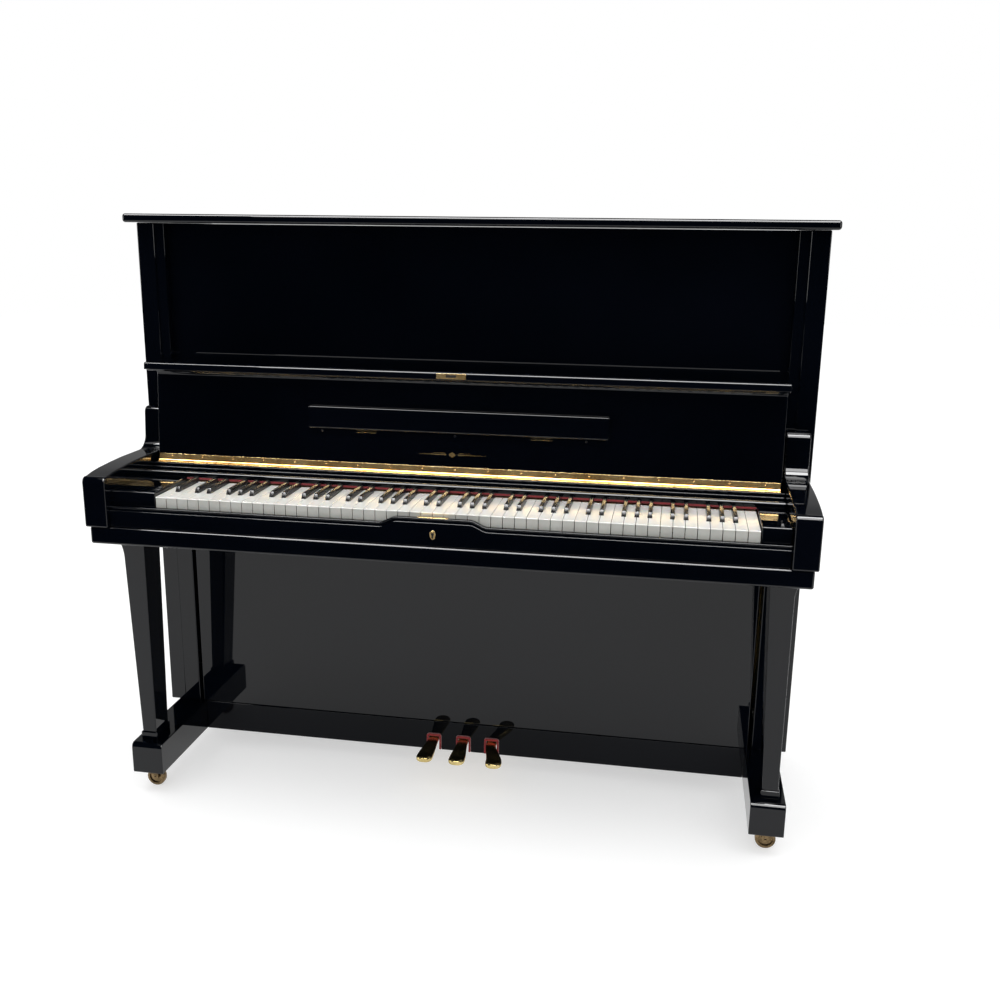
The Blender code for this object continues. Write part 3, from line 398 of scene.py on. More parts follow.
@dataclass(frozen=True)
class BronzedIron(Finish):
    """Cast iron under gold-bronze lacquer."""

    name: str = "bronzed_iron"

    def paint(self, shader: Shader) -> None:
        """Set up the shader's nodes.

        Args:
            shader: the shader of the new material.
        """
        cast = shader.blend(shader.noise(420.0, 4.0), shader.noise(60.0, 3.0), 0.4)
        shader.set(Metallic=0.75)
        shader.colour(cast, (0.36, 0.23, 0.07), (0.58, 0.41, 0.16))
        shader.roughness(cast, 0.34, 0.52)
        shader.bump(cast, 0.0002)


@dataclass(frozen=True)
class Wire(Finish):
    """Drawn steel, or copper wound round a core."""

    name: str = "steel_wire"
    dark: Colour = (0.38, 0.39, 0.41)
    light: Colour = (0.66, 0.67, 0.69)
    windings: float = 0.0

    def paint(self, shader: Shader) -> None:
        """Set up the shader's nodes.

        Args:
            shader: the shader of the new material.
        """
        shader.set(Metallic=1.0)
        drawn = shader.noise(700.0, 3.0, (1, 1, 0.05))
        shader.colour(drawn, self.dark, self.light)
        shader.roughness(drawn, 0.20, 0.36)
        if self.windings:
            shader.bump(shader.wave(self.windings, "Z"), 0.0002)


@dataclass(frozen=True)
class StudioFloor(Finish):
    """The pale seamless floor, which also glows a little by itself: painted light that keeps the
    shadows on it pale.
    """

    name: str = "pale_floor"
    glow: float = 0.52

    def paint(self, shader: Shader) -> None:
        """Set up the shader's nodes.

        Args:
            shader: the shader of the new material.
        """
        # Painted light: the emission makes the floor glow evenly, so the shadows cast on it stay pale.
        shader.set(
            Specular_IOR_Level=0.0, Emission_Color=(1.0, 1.0, 1.0, 1.0), Emission_Strength=self.glow
        )
        shader.colour(shader.noise(1.5, 3.0), (0.575, 0.575, 0.575), (0.592, 0.592, 0.592))
        shader.roughness(shader.noise(90.0), 0.9, 1.0)


LACQUER = Lacquer()
SATIN = Lacquer("satin_black", (0.006, 0.006, 0.007), (0.012, 0.012, 0.014), (0.30, 0.42), 0.0001)
# Painted shade: a copy of the lacquer that reflects less, darkening the plinth as if it mirrored the
# shaded floor under the piano.
SHADED_PLINTH_LACQUER = Lacquer("plinth_polyester_painted_shade", haze=(0.04, 0.08), glass=1.22)
BRASS = Brass()
HINGE_BRASS = Brass(
    "hinge_brass", (0.80, 0.58, 0.22), (0.95, 0.76, 0.40), (0.02, 0.05), (1, 1, 1), 0.98, 0.000001
)
PEDAL_BRASS = Brass(
    "pedal_brass", (0.52, 0.40, 0.16), (0.76, 0.62, 0.30), (0.13, 0.22), (1, 0.1, 1), 1.0, 0.000002
)
CASTER_BRASS = Brass(
    "caster_brass", (0.06, 0.04, 0.02), (0.24, 0.17, 0.09), (0.16, 0.34), (1, 1, 1), 1.0
)
KEY_TOP = KeyTop()
# Painted shade: a darker copy of the white acrylic for the key bodies, so the key fronts look shaded.
SHADED_KEY_FRONT = KeyTop("white_key_front_painted_shade", (0.44, 0.44, 0.41), (0.50, 0.50, 0.47))
EBONY = Ebony()
RED_FELT = Felt()
WOOL = Felt("hammer_wool", (0.55, 0.52, 0.45), (0.80, 0.78, 0.72))
SPRUCE = Timber()
SPRUCE_LONG = Timber("spruce_long", along=Axis.X)
MAPLE = Timber("maple", (0.56, 0.38, 0.21), (0.74, 0.56, 0.36), Axis.Z, 60.0, (0.35, 0.5))
MAPLE_LONG = Timber("maple_long", (0.56, 0.38, 0.21), (0.74, 0.56, 0.36), Axis.X, 60.0, (0.35, 0.5))
KEY_STICK = Timber(
    "key_stick_spruce", (0.60, 0.42, 0.22), (0.80, 0.62, 0.38), Axis.Y, 90.0, (0.45, 0.6)
)
IRON = BronzedIron()
PLAIN_WIRE = Wire()
COPPER_WIRE = Wire("copper_wire", (0.42, 0.17, 0.07), (0.72, 0.34, 0.17), 260.0)
FLOOR = StudioFloor()


# ---------------------------------------------------------------- shapes


def object_of(name: str, mesh: bmesh.types.BMesh) -> bpy.types.Object:
    """Turn a working mesh into an object in the scene, with its faces outwards.

    Args:
        name: the object's name.
        mesh: the working mesh, which is freed.

    Returns:
        The new object.
    """
    bmesh.ops.recalc_face_normals(mesh, faces=mesh.faces)
    data = bpy.data.meshes.new(name)
    mesh.to_mesh(data)
    mesh.free()
    made = bpy.data.objects.new(name, data)
    bpy.context.scene.collection.objects.link(made)
    return made


def bake(obj: bpy.types.Object) -> bpy.types.Object:
    """Replace an object's mesh with what its modifiers make of it, and drop them.

    Args:
        obj: the object.

    Returns:
        The same object, with a plain mesh.
    """
    bpy.context.view_layer.update()
    evaluated = obj.evaluated_get(bpy.context.evaluated_depsgraph_get())
    made = bpy.data.meshes.new_from_object(evaluated)
    obj.modifiers.clear()
    obj.data = made
    return obj


def rounded(
    obj: bpy.types.Object, width: float, segments: int = 3, angle: float = 32.0
) -> bpy.types.Object:
    """Round an object's sharp edges and keep its flat faces flat to the light.

    Args:
        obj: the object.
        width: the rounding's width.
        segments: the faces across each rounding.
        angle: the angle in degrees past which an edge is sharp.

    Returns:
        The same object, with a plain mesh.
    """
    if width > 0:
        edge = obj.modifiers.new("edge", "BEVEL")
        edge.width = width
        edge.segments = segments
        edge.limit_method = "ANGLE"
        edge.angle_limit = math.radians(angle)
        edge.use_clamp_overlap = True
        edge.miter_outer = "MITER_ARC"
    obj.data.shade_smooth()
    obj.data.set_sharp_from_angle(angle=math.radians(angle + 8.0))
    bake(obj)
    obj.data.set_sharp_from_angle(angle=math.radians(48.0))
    even = obj.modifiers.new("even", "WEIGHTED_NORMAL")
    even.keep_sharp = True
    even.weight = 100
    return bake(obj)


def corner(axis: Axis, u: float, v: float, w: float) -> Vector:
    """The point of an outline (u, v) at w along the axis.

    Args:
        axis: the axis of the thickness.
        u: the first place on the outline.
        v: the second place on the outline.
        w: the place along the axis.

    Returns:
        The point.
    """
    if axis is Axis.X:
        return Vector((w, u, v))
    if axis is Axis.Y:
        return Vector((u, w, v))
    return Vector((u, v, w))


def add_prism(
    mesh: bmesh.types.BMesh, outline: Sequence[Point], axis: Axis, low: float, high: float
) -> None:
    """Add a thickened flat outline to a working mesh.

    Args:
        mesh: the working mesh.
        outline: the points of the outline.
        axis: the axis of the thickness.
        low: the lower limit along it.
        high: the upper limit along it.
    """
    ends = [[mesh.verts.new(corner(axis, u, v, w)) for u, v in outline] for w in (low, high)]
    count = len(outline)
    for index in range(count):
        after = (index + 1) % count
        mesh.faces.new((ends[0][index], ends[0][after], ends[1][after], ends[1][index]))
    mesh.faces.new(ends[0][::-1])
    mesh.faces.new(ends[1])


def prism(
    name: str,
    outline: Sequence[Point],
    axis: Axis,
    span: Span,
    edge: float = 0.0015,
    segments: int = 3,
) -> bpy.types.Object:
    """A flat outline thickened along an axis, with rounded edges.

    Args:
        name: the piece's name.
        outline: points (y, z), (x, z) or (x, y) for an outline along X, Y or Z.
        axis: the axis of the thickness.
        span: the lower and upper limit along it.
        edge: the rounding of its sharp edges.
        segments: the faces across a rounding.

    Returns:
        The new object.
    """
    mesh = bmesh.new()
    add_prism(mesh, outline, axis, min(span), max(span))
    return rounded(object_of(name, mesh), edge, segments)


def slab(
    name: str, low: Sequence[float], high: Sequence[float], edge: float = 0.0015, segments: int = 3
) -> bpy.types.Object:
    """A board between two corners, with rounded edges."""
    outline = [(low[0], low[1]), (high[0], low[1]), (high[0], high[1]), (low[0], high[1])]
    return prism(name, outline, Axis.Z, (low[2], high[2]), edge, segments)


def slabs(
    name: str, boxes: Iterable[tuple[Sequence[float], Sequence[float]]], edge: float
) -> bpy.types.Object:
    """Several boards in one object, each between two corners.

    Args:
        name: the piece's name.
        boxes: the lower and upper corner of each.
        edge: the rounding of their sharp edges.

    Returns:
        The new object.
    """
    return merged(
        name, [slab(f"{name}_{i}", low, high, edge) for i, (low, high) in enumerate(boxes)]
    )


def merged(name: str, pieces: Sequence[bpy.types.Object]) -> bpy.types.Object:
    """Join finished pieces into one, keeping each one's shading and material.

    Args:
        name: the joined piece's name.
        pieces: the pieces, which are used up.

    Returns:
        The joined piece.
    """
    with bpy.context.temp_override(
        active_object=pieces[0], object=pieces[0], selected_objects=pieces,
        selected_editable_objects=pieces
    ):
        bpy.ops.object.join()
    pieces[0].name = name
    pieces[0].data.name = name
    return pieces[0]


def loft(name: str, rings: Sequence[Sequence[Vector]], angle: float = 35.0) -> bpy.types.Object:
    """A closed skin through rings of points, with its two ends filled.

    Args:
        name: the piece's name.
        rings: rings of the same number of points, in order.
        angle: the angle in degrees past which an edge stays sharp.

    Returns:
        The new object.
    """
    mesh = bmesh.new()
    rows = [[mesh.verts.new(point) for point in ring] for ring in rings]
    count = len(rings[0])
    for near, far in zip(rows, rows[1:]):
        for index in range(count):
            after = (index + 1) % count
            mesh.faces.new((near[index], near[after], far[after], far[index]))
    mesh.faces.new(rows[0][::-1])
    mesh.faces.new(rows[-1])
    made = object_of(name, mesh)
    made.data.shade_smooth()
    made.data.set_sharp_from_angle(angle=math.radians(angle))
    return made


def turned(
    name: str, profile: Sequence[Point], centre: Sequence[float], axis: Axis, sides: int = 40
) -> bpy.types.Object:
    """A turned piece: a profile of (radius, along) pairs spun about an axis through a centre.

    Args:
        name: the piece's name.
        profile: radius and place along the axis, from one end to the other. Its ends are closed.
        centre: the point the axis passes through.
        axis: the axis of turning.
        sides: the faces round it.

    Returns:
        The new object.
    """
    rings = []
    for radius, along in profile:
        ring = []
        for side in range(sides):
            angle = 2 * math.pi * side / sides
            u, v = radius * math.cos(angle), radius * math.sin(angle)
            ring.append(Vector(centre) + corner(axis, u, v, along))
        rings.append(ring)
    return loft(name, rings)


def arc(centre: Point, radius: float, start: float, end: float, steps: int) -> list[Point]:
    """Points along an arc, angles in degrees."""
    turns = [math.radians(start + (end - start) * step / steps) for step in range(steps + 1)]
    return [(centre[0] + radius * math.cos(t), centre[1] + radius * math.sin(t)) for t in turns]


def smooth_step(share: float) -> float:
    """An even S-shaped rise from 0 to 1."""
    share = min(1.0, max(0.0, share))
    return share * share * (3 - 2 * share)


def seat(
    obj: bpy.types.Object, body: str, slot: str, finish: Finish | None, *nodes: str
) -> bpy.types.Object:
    """Give a piece its finish, let it ride on a body, and hide the frame's nodes it stands for.

    Args:
        obj: the finished piece.
        body: the body that carries it.
        slot: not used.
        finish: its finish, or None where it already has its materials.
        nodes: the frame's nodes it stands for.

    Returns:
        The same piece.
    """
    if finish is not None:
        obj.data.materials.clear()
        obj.data.materials.append(finish.material())
    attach(obj, body)
    if nodes:
        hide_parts(*nodes)
    LOG.info("%s on %s, %d faces", obj.name, body, len(obj.data.polygons))
    return obj


# ---------------------------------------------------------------- node trees


class Tree:
    """A geometry node tree with named inputs."""

    def __init__(self, name: str) -> None:
        """Start a tree with a geometry input and output.

        Args:
            name: the tree's name.
        """
        self.group = bpy.data.node_groups.new(name, "GeometryNodeTree")
        face = self.group.interface
        face.new_socket("Geometry", in_out="INPUT", socket_type="NodeSocketGeometry")
        face.new_socket("Geometry", in_out="OUTPUT", socket_type="NodeSocketGeometry")
        self.start = self.group.nodes.new("NodeGroupInput")
        self.end = self.group.nodes.new("NodeGroupOutput")

    def input(self, name: str, kind: str, default: object = None) -> object:
        """Add a named input.

        Args:
            name: the input's name.
            kind: the socket type, without its NodeSocket prefix.
            default: its value where none is given.

        Returns:
            The socket inside the tree.
        """
        made = self.group.interface.new_socket(
            name, in_out="INPUT", socket_type=f"NodeSocket{kind}"
        )
        if default is not None:
            made.default_value = default
        return self.start.outputs[name]

    def node(
        self, kind: str, inputs: Mapping[str | int, object] | None = None, **settings: object
    ) -> object:
        """Add a node, with its settings and its inputs linked or set.

        Args:
            kind: the node type, without its GeometryNode prefix where it has one.
            inputs: values or sockets by input name or number.
            settings: the node's own properties.

        Returns:
            The new node.
        """
        kind = kind if kind.startswith(("Shader", "Function")) else f"GeometryNode{kind}"
        made = self.group.nodes.new(kind)
        for name, value in settings.items():
            setattr(made, name, value)
        for name, value in (inputs or {}).items():
            if isinstance(value, bpy.types.NodeSocket):
                self.group.links.new(value, made.inputs[name])
            else:
                made.inputs[name].default_value = value
        return made

    def maths(self, operation: str, first: object, second: object = 0.0) -> object:
        """A number worked out from two others."""
        return self.node("ShaderNodeMath", {0: first, 1: second}, operation=operation).outputs[0]

    def vector(self, operation: str, first: object, second: object) -> object:
        """A vector worked out from two others.

        Args:
            operation: the node's operation.
            first: a vector socket.
            second: a vector, or a factor to scale by.

        Returns:
            The vector socket.
        """
        node = self.node("ShaderNodeVectorMath", {0: first}, operation=operation)
        slot = "Scale" if operation == "SCALE" else 1
        if isinstance(second, bpy.types.NodeSocket):
            self.group.links.new(second, node.inputs[slot])
        else:
            node.inputs[slot].default_value = second
        return node.outputs[0]

    def close(self, geometry: object, finish: object) -> None:
        """End the tree with realised instances in one finish."""
        real = self.node("RealizeInstances", {"Geometry": geometry})
        dressed = self.node("SetMaterial", {"Geometry": real.outputs[0], "Material": finish})
        self.group.links.new(dressed.outputs[0], self.end.inputs[0])

    def grow(self, name: str, values: Mapping[str, object]) -> bpy.types.Object:
        """Run the tree and keep its result as a plain mesh.

        Args:
            name: the new piece's name.
            values: the inputs by name.

        Returns:
            The new object.
        """
        data = bpy.data.meshes.new(name)
        made = bpy.data.objects.new(name, data)
        bpy.context.scene.collection.objects.link(made)
        runner = made.modifiers.new("grow", "NODES")
        runner.node_group = self.group
        known = {
            item.name: item.identifier
            for item in self.group.interface.items_tree
            if item.item_type == "SOCKET" and item.in_out == "INPUT"
        }
        for key, value in values.items():
            runner[known[key]] = value
        return bake(made)


def row_tree() -> Tree:
    """Copies of a piece in a row, each turned and lifted by a little seeded unevenness.

    Returns:
        The tree.
    """
    tree = Tree("row")
    piece = tree.input("Piece", "Object")
    count = tree.input("Count", "Int", 2)
    start = tree.input("Start", "Vector")
    step = tree.input("Step", "Vector")
    sway = tree.input("Sway", "Vector", (0.0, 0.0, 0.0))
    drift = tree.input("Drift", "Vector", (0.0, 0.0, 0.0))
    spin = tree.input("Spin", "Vector", (0.0, 0.0, 0.0))
    seed = tree.input("Seed", "Int", 7)
    finish = tree.input("Finish", "Material")
    line = tree.node("MeshLine", {"Count": count, "Start Location": start, "Offset": step})
    line.mode = "OFFSET"
    turn = tree.node("FunctionNodeRandomValue", data_type="FLOAT_VECTOR")
    tree.group.links.new(tree.vector("MULTIPLY", sway, (-1.0, -1.0, -1.0)), turn.inputs[0])
    tree.group.links.new(sway, turn.inputs[1])
    tree.group.links.new(seed, turn.inputs["Seed"])
    lift = tree.node("FunctionNodeRandomValue", data_type="FLOAT_VECTOR")
    tree.group.links.new(tree.vector("MULTIPLY", drift, (-1.0, -1.0, -1.0)), lift.inputs[0])
    tree.group.links.new(drift, lift.inputs[1])
    tree.group.links.new(tree.maths("ADD", seed, 1.0), lift.inputs["Seed"])
    moved = tree.node("SetPosition", {"Geometry": line.outputs[0], "Offset": lift.outputs[0]})
    source = tree.node("ObjectInfo", {"Object": piece})
    copies = tree.node(
        "InstanceOnPoints",
        {
            "Points": moved.outputs[0],
            "Instance": source.outputs["Geometry"],
            "Rotation": tree.vector("ADD", turn.outputs[0], spin),
        },
    )
    tree.close(copies.outputs[0], finish)
    return tree


def string_tree() -> Tree:
    """Straight wires between two rows of points: one row at the foot and one at the head.

    Returns:
        The tree.
    """
    tree = Tree("strings")
    count = tree.input("Count", "Int", 2)
    foot = tree.input("Foot", "Vector")
    foot_end = tree.input("Foot end", "Vector")
    head = tree.input("Head", "Vector")
    head_end = tree.input("Head end", "Vector")
    radius = tree.input("Radius", "Float", 0.0005)
    finish = tree.input("Finish", "Material")
    line = tree.node("MeshLine", {"Count": count, "Start Location": foot}, mode="END_POINTS")
    tree.group.links.new(foot_end, line.inputs["Offset"])
    index = tree.node("InputIndex").outputs[0]
    share = tree.maths("DIVIDE", index, tree.maths("SUBTRACT", count, 1.0))
    across = tree.vector("SCALE", tree.vector("SUBTRACT", head_end, head), share)
    place = tree.node("InputPosition").outputs[0]
    reach = tree.vector("SUBTRACT", tree.vector("ADD", head, across), place)
    length = tree.node("ShaderNodeVectorMath", {0: reach}, operation="LENGTH").outputs["Value"]
    aim = tree.node("FunctionNodeAlignRotationToVector", {"Vector": reach}, axis="Z")
    size = tree.node("ShaderNodeCombineXYZ", {"X": radius, "Y": radius, "Z": length})
    wire = tree.node("MeshCylinder", {"Vertices": 6, "Radius": 1.0, "Depth": 1.0})
    lifted = tree.node("Transform", {"Geometry": wire.outputs[0], "Translation": (0.0, 0.0, 0.5)})
    copies = tree.node(
        "InstanceOnPoints",
        {
            "Points": line.outputs[0],
            "Instance": lifted.outputs[0],
            "Rotation": aim.outputs[0],
            "Scale": size.outputs[0],
        },
    )
    tree.close(copies.outputs[0], finish)
    return tree


def leg_tree() -> Tree:
    """A square post that tapers to its foot, flares outwards at its head and rakes back.

    Returns:
        The tree.
    """
    tree = Tree("leg")
    foot = tree.input("Foot width", "Float", 0.033)
    shift = tree.input("Foot shift", "Float", 0.004)
    knee = tree.input("Knee width", "Float", 0.0475)
    head = tree.input("Head width", "Float", 0.068)
    depth = tree.input("Depth", "Float", 0.075)
    thin = tree.input("Back taper", "Float", 0.015)
    height = tree.input("Height", "Float", 0.48)
    flare = tree.input("Flare height", "Float", 0.062)
    power = tree.input("Flare power", "Float", 2.2)
    rake = tree.input("Rake", "Float", 0.038)
    side = tree.input("Side", "Float", 1.0)
    place = tree.input("Inner top corner", "Vector")
    finish = tree.input("Finish", "Material")
    cube = tree.node("MeshCube", {"Vertices X": 2, "Vertices Y": 2, "Vertices Z": 64})
    cube.inputs["Size"].default_value = (1.0, 1.0, 1.0)
    position = tree.node("InputPosition").outputs[0]
    parts = tree.node("ShaderNodeSeparateXYZ", {0: position})
    u = tree.maths("ADD", parts.outputs[0], 0.5)
    v = tree.maths("ADD", parts.outputs[1], 0.5)
    down = tree.maths("SUBTRACT", 0.5, parts.outputs[2])
    fall = tree.maths("MULTIPLY", down, height)
    above = tree.maths(
        "MAXIMUM", tree.maths("DIVIDE", tree.maths("SUBTRACT", flare, fall), flare), 0.0
    )
    below = tree.maths(
        "MAXIMUM",
        tree.maths(
            "DIVIDE", tree.maths("SUBTRACT", fall, flare), tree.maths("SUBTRACT", height, flare)
        ),
        0.0,
    )
    bulge = tree.maths("POWER", above, power)
    straight = tree.maths("MULTIPLY", tree.maths("SUBTRACT", foot, knee), below)
    flared = tree.maths("MULTIPLY", tree.maths("SUBTRACT", head, knee), bulge)
    width = tree.maths("ADD", knee, tree.maths("ADD", straight, flared))
    lean = tree.maths("ADD", tree.maths("DIVIDE", tree.maths("SUBTRACT", head, foot), 2.0), shift)
    inset = tree.maths("MULTIPLY", lean, down)
    x = tree.maths("MULTIPLY", tree.maths("ADD", inset, tree.maths("MULTIPLY", u, width)), side)
    thick = tree.maths("SUBTRACT", depth, tree.maths("MULTIPLY", thin, down))
    y = tree.maths("ADD", tree.maths("MULTIPLY", v, thick), tree.maths("MULTIPLY", rake, down))
    z = tree.maths("MULTIPLY", fall, -1.0)
    shaped = tree.node("ShaderNodeCombineXYZ", {"X": x, "Y": y, "Z": z}).outputs[0]
    moved = tree.node(
        "SetPosition", {"Geometry": cube.outputs[0], "Position": tree.vector("ADD", shaped, place)}
    )
    tree.close(moved.outputs[0], finish)
    return tree


ROW = row_tree()
STRINGS = string_tree()
LEG = leg_tree()


def row(
    name: str,
    piece: bpy.types.Object,
    count: int,
    start: Sequence[float],
    step: Sequence[float],
    finish: Finish,
    sway: Sequence[float] = (0, 0, 0),
    drift: Sequence[float] = (0, 0, 0),
    spin: Sequence[float] = (0, 0, 0),
    seed: int = 7,
    keep: bool = False,
) -> bpy.types.Object:
    """A row of copies of a piece as one plain mesh.

    Args:
        name: the row's name.
        piece: the piece to copy, modelled about the origin.
        count: how many.
        start: where the first one goes.
        step: from each to the next.
        finish: their finish.
        sway: the most each turns about X, Y and Z, in radians.
        drift: the most each is out of line.
        spin: a turn that all share.
        seed: the seed of the unevenness.
        keep: whether the piece is wanted again.

    Returns:
        The row.
    """
    made = ROW.grow(
        name,
        {
            "Piece": piece,
            "Count": count,
            "Start": tuple(start),
            "Step": tuple(step),
            "Sway": tuple(float(x) for x in sway),
            "Drift": tuple(float(x) for x in drift),
            "Spin": tuple(float(x) for x in spin),
            "Seed": seed,
            "Finish": finish.material(),
        },
    )
    if not keep:
        bpy.data.objects.remove(piece)
    return made


def wires(
    name: str, count: int, foot: Sequence[Sequence[float]], head: Sequence[Sequence[float]],
    radius: float, finish: Finish
) -> bpy.types.Object:
    """Wires from one row of points to another.

    Args:
        name: the piece's name.
        count: how many wires.
        foot: the first and last lower end.
        head: the first and last upper end.
        radius: the wire's radius.
        finish: its finish.

    Returns:
        The wires as one plain mesh.
    """
    return STRINGS.grow(
        name,
        {
            "Count": count,
            "Foot": tuple(foot[0]),
            "Foot end": tuple(foot[1]),
            "Head": tuple(head[0]),
            "Head end": tuple(head[1]),
            "Radius": radius,
            "Finish": finish.material(),
        },
    )


def screw_head(radius: float, height: float) -> bpy.types.Object:
    """A slotted, domed screw head about the origin, facing +Z.

    Args:
        radius: the head's radius.
        height: the dome's height.

    Returns:
        The new object.
    """
    dome = [
        (radius * 1.0, 0.0),
        (radius * 0.96, height * 0.45),
        (radius * 0.7, height * 0.85),
        (0.0002, height),
    ]
    head = turned("screw_head", dome, (0, 0, 0), Axis.Z, 14)
    bar = slab(
        "slot", (-radius * 0.98, -radius * 0.13, height * 0.72),
        (radius * 0.98, radius * 0.13, height * 1.05), 0
    )
    cut = head.modifiers.new("slot", "BOOLEAN")
    cut.operation = "DIFFERENCE"
    cut.object = bar
    bake(head)
    bpy.data.objects.remove(bar)
    return head


# ---------------------------------------------------------------- the case


@dataclass
class Sides:
    """The two case sides with their glued posts, and the toes they stand on."""

    thickness: float = 0.040
    upper_post: float = 0.022
    upper_post_setback: float = 0.005
    upper_post_depth: float = 0.0222
    lower_post_depth: float = 0.050
    lower_post_setback: float = 0.0005
    edge: float = 0.0028
    toe_nose: float = 0.012
    toe_edge: float = 0.0018

    def side(self, side: Side) -> bpy.types.Object:
        """Build one side: the board, stepped back under the keybed, with its two posts.

        Args:
            side: which side.

        Returns:
            The finished piece.
        """
        node = f"side_board_{side.word}"
        low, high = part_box(node)
        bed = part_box("key_bed")[0].z
        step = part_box("lower_panel")[0].y - 0.001
        outer = side.value * max(abs(low.x), abs(high.x))
        inner = outer - side.value * self.thickness
        outline = [
            (high.y, low.z),
            (high.y, high.z),
            (low.y, high.z),
            (low.y, bed),
            (step, bed),
            (step, low.z),
        ]
        board = prism(f"{node}_board", outline, Axis.X, (inner, outer), self.edge)
        into = inner + side.value * 0.003
        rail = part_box("fallboard_rail")[1].z + 0.0003
        upper_inner = inner - side.value * self.upper_post
        front = low.y + self.upper_post_setback
        upper = slab(
            f"{node}_upper",
            (min(upper_inner, into), front, rail),
            (max(upper_inner, into), front + self.upper_post_depth, high.z - 0.001),
            0.0012,
        )
        lower_inner = side.value * min(abs(low.x), abs(high.x))
        lower = slab(
            f"{node}_lower",
            (min(lower_inner, into), step + self.lower_post_setback, low.z),
            (max(lower_inner, into), step + self.lower_post_depth, bed - 0.0003),
            0.0024,
        )
        return seat(
            merged(f"{node}_lacquered", [board, upper, lower]), CASE, "black_lacquer", LACQUER, node
        )

    def toe(self, side: Side) -> bpy.types.Object:
        """Build one toe, rounded at its front upper edge.

        Args:
            side: which side.

        Returns:
            The finished piece.
        """
        node = f"toe_{side.word}"
        low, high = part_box(node)
        r = self.toe_nose
        outline = [(high.y, low.z), (high.y, high.z)]
        outline += arc((low.y + r, high.z - r), r, 90, 180, 12)
        outline += [(low.y, low.z)]
        made = prism(f"{node}_lacquered", outline, Axis.X, (low.x, high.x), self.toe_edge)
        return seat(made, CASE, "black_lacquer", LACQUER, node)

    def build(self) -> None:
        """Build both sides and both toes."""
        for side in Side:
            self.side(side)
            self.toe(side)


@dataclass
class Panels:
    """The upper and lower panel, and the plinth with the case floor."""

    edge: float = 0.0022
    notch: float = 0.036
    notch_top: float = 0.096
    plinth: float = 0.022
    set_back: float = 0.004
    crown: float = 0.006
    floor_rise: float = 0.046
    floor_thickness: float = 0.018
    block_x: Span = (-0.1335, 0.128)
    block_y: Span = (0.185, 0.215)
    block_rise: float = 0.010
    overlap: float = 0.002

    def upper(self) -> bpy.types.Object:
        """Build the upper panel."""
        low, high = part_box("upper_panel")
        made = slab("upper_panel_lacquered", low, high, self.edge)
        return seat(made, CASE, "black_lacquer", LACQUER, "upper_panel")

    def lower(self) -> bpy.types.Object:
        """Build the lower panel."""
        low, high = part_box("lower_panel")
        made = slab("lower_panel_lacquered", low, high, self.edge)
        return seat(made, "lower_panel", "black_lacquer", LACQUER, "lower_panel")

    def floor(self) -> bpy.types.Object:
        """Build the case floor and the plinth with an arched notch for each pedal.

        Returns:
            The finished piece.
        """
        low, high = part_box("bottom_board")
        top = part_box("toe_left")[1].z
        outline: list[Point] = [(low.x, low.z)]
        for name in Pedals.names:
            middle = Pedals.neck_middle(name)
            half, crown = self.notch / 2, self.crown
            left, right = middle - half, middle + half
            outline += [(left, low.z)]
            outline += arc((left + crown, self.notch_top - crown), crown, 180, 90, 5)
            outline += arc((right - crown, self.notch_top - crown), crown, 90, 0, 5)
            outline += [(right, low.z)]
        outline += [(high.x, low.z), (high.x, top), (low.x, top)]
        front = prism(
            "plinth_board", outline, Axis.Y, (low.y + self.set_back, low.y + self.plinth), 0.0008
        )
        under = low.z + self.floor_rise
        board = slab(
            "case_floor", (low.x, low.y + self.plinth - self.overlap, under),
            (high.x, high.y, under + self.floor_thickness), 0.001
        )
        sill = slab(
            "pedal_block",
            (self.block_x[0], low.y + self.block_y[0], low.z + self.block_rise),
            (self.block_x[1], low.y + self.block_y[1], under + self.overlap),
            0.001,
        )
        made = merged("plinth_and_floor", [front, board, sill])
        # The plinth's weaker-reflecting lacquer is painted shade.
        return seat(made, CASE, "black_lacquer", SHADED_PLINTH_LACQUER, "bottom_board")

    def build(self) -> None:
        """Build the panels and the floor."""
        self.upper()
        self.lower()
        self.floor()


@dataclass
class Lid:
    """The lid's two boards and the long hinge between them."""

    edge: float = 0.0062
    knuckle: float = 0.030
    knuckle_gap: float = 0.0006

    def board(self, node: str, body: str) -> bpy.types.Object:
        """Build one lid board with well-rounded edges.

        Args:
            node: the frame's node.
            body: the body it rides on.

        Returns:
            The finished piece.
        """
        low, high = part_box(node)
        made = slab(f"{node}_lacquered", low, high, self.edge, 6)
        return seat(made, body, "black_lacquer", LACQUER, node)

    def hinge(self) -> bpy.types.Object:
        """Build the hinge's row of knuckles.

        Returns:
            The finished piece.
        """
        low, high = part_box("lid_hinge")
        radius = (high.z - low.z) / 2
        centre = (low + high) / 2
        length = self.knuckle
        profile = [
            (radius - 0.0004, 0.0),
            (radius, 0.0004),
            (radius, length - 0.0004),
            (radius - 0.0004, length),
        ]
        piece = turned("knuckle", profile, (0, 0, 0), Axis.X, 16)
        count = int((high.x - low.x) // (length + self.knuckle_gap))
        start = (-(count * (length + self.knuckle_gap)) / 2, centre.y, centre.z)
        made = row(
            "lid_hinge_knuckles", piece, count, start, (length + self.knuckle_gap, 0, 0), BRASS
        )
        return seat(made, CASE, "brass", None, "lid_hinge")

    def build(self) -> None:
        """Build the lid."""
        self.board("lid_front", "lid_front")
        self.board("lid_rear", CASE)
        self.hinge()


# ---------------------------------------------------------------- front work


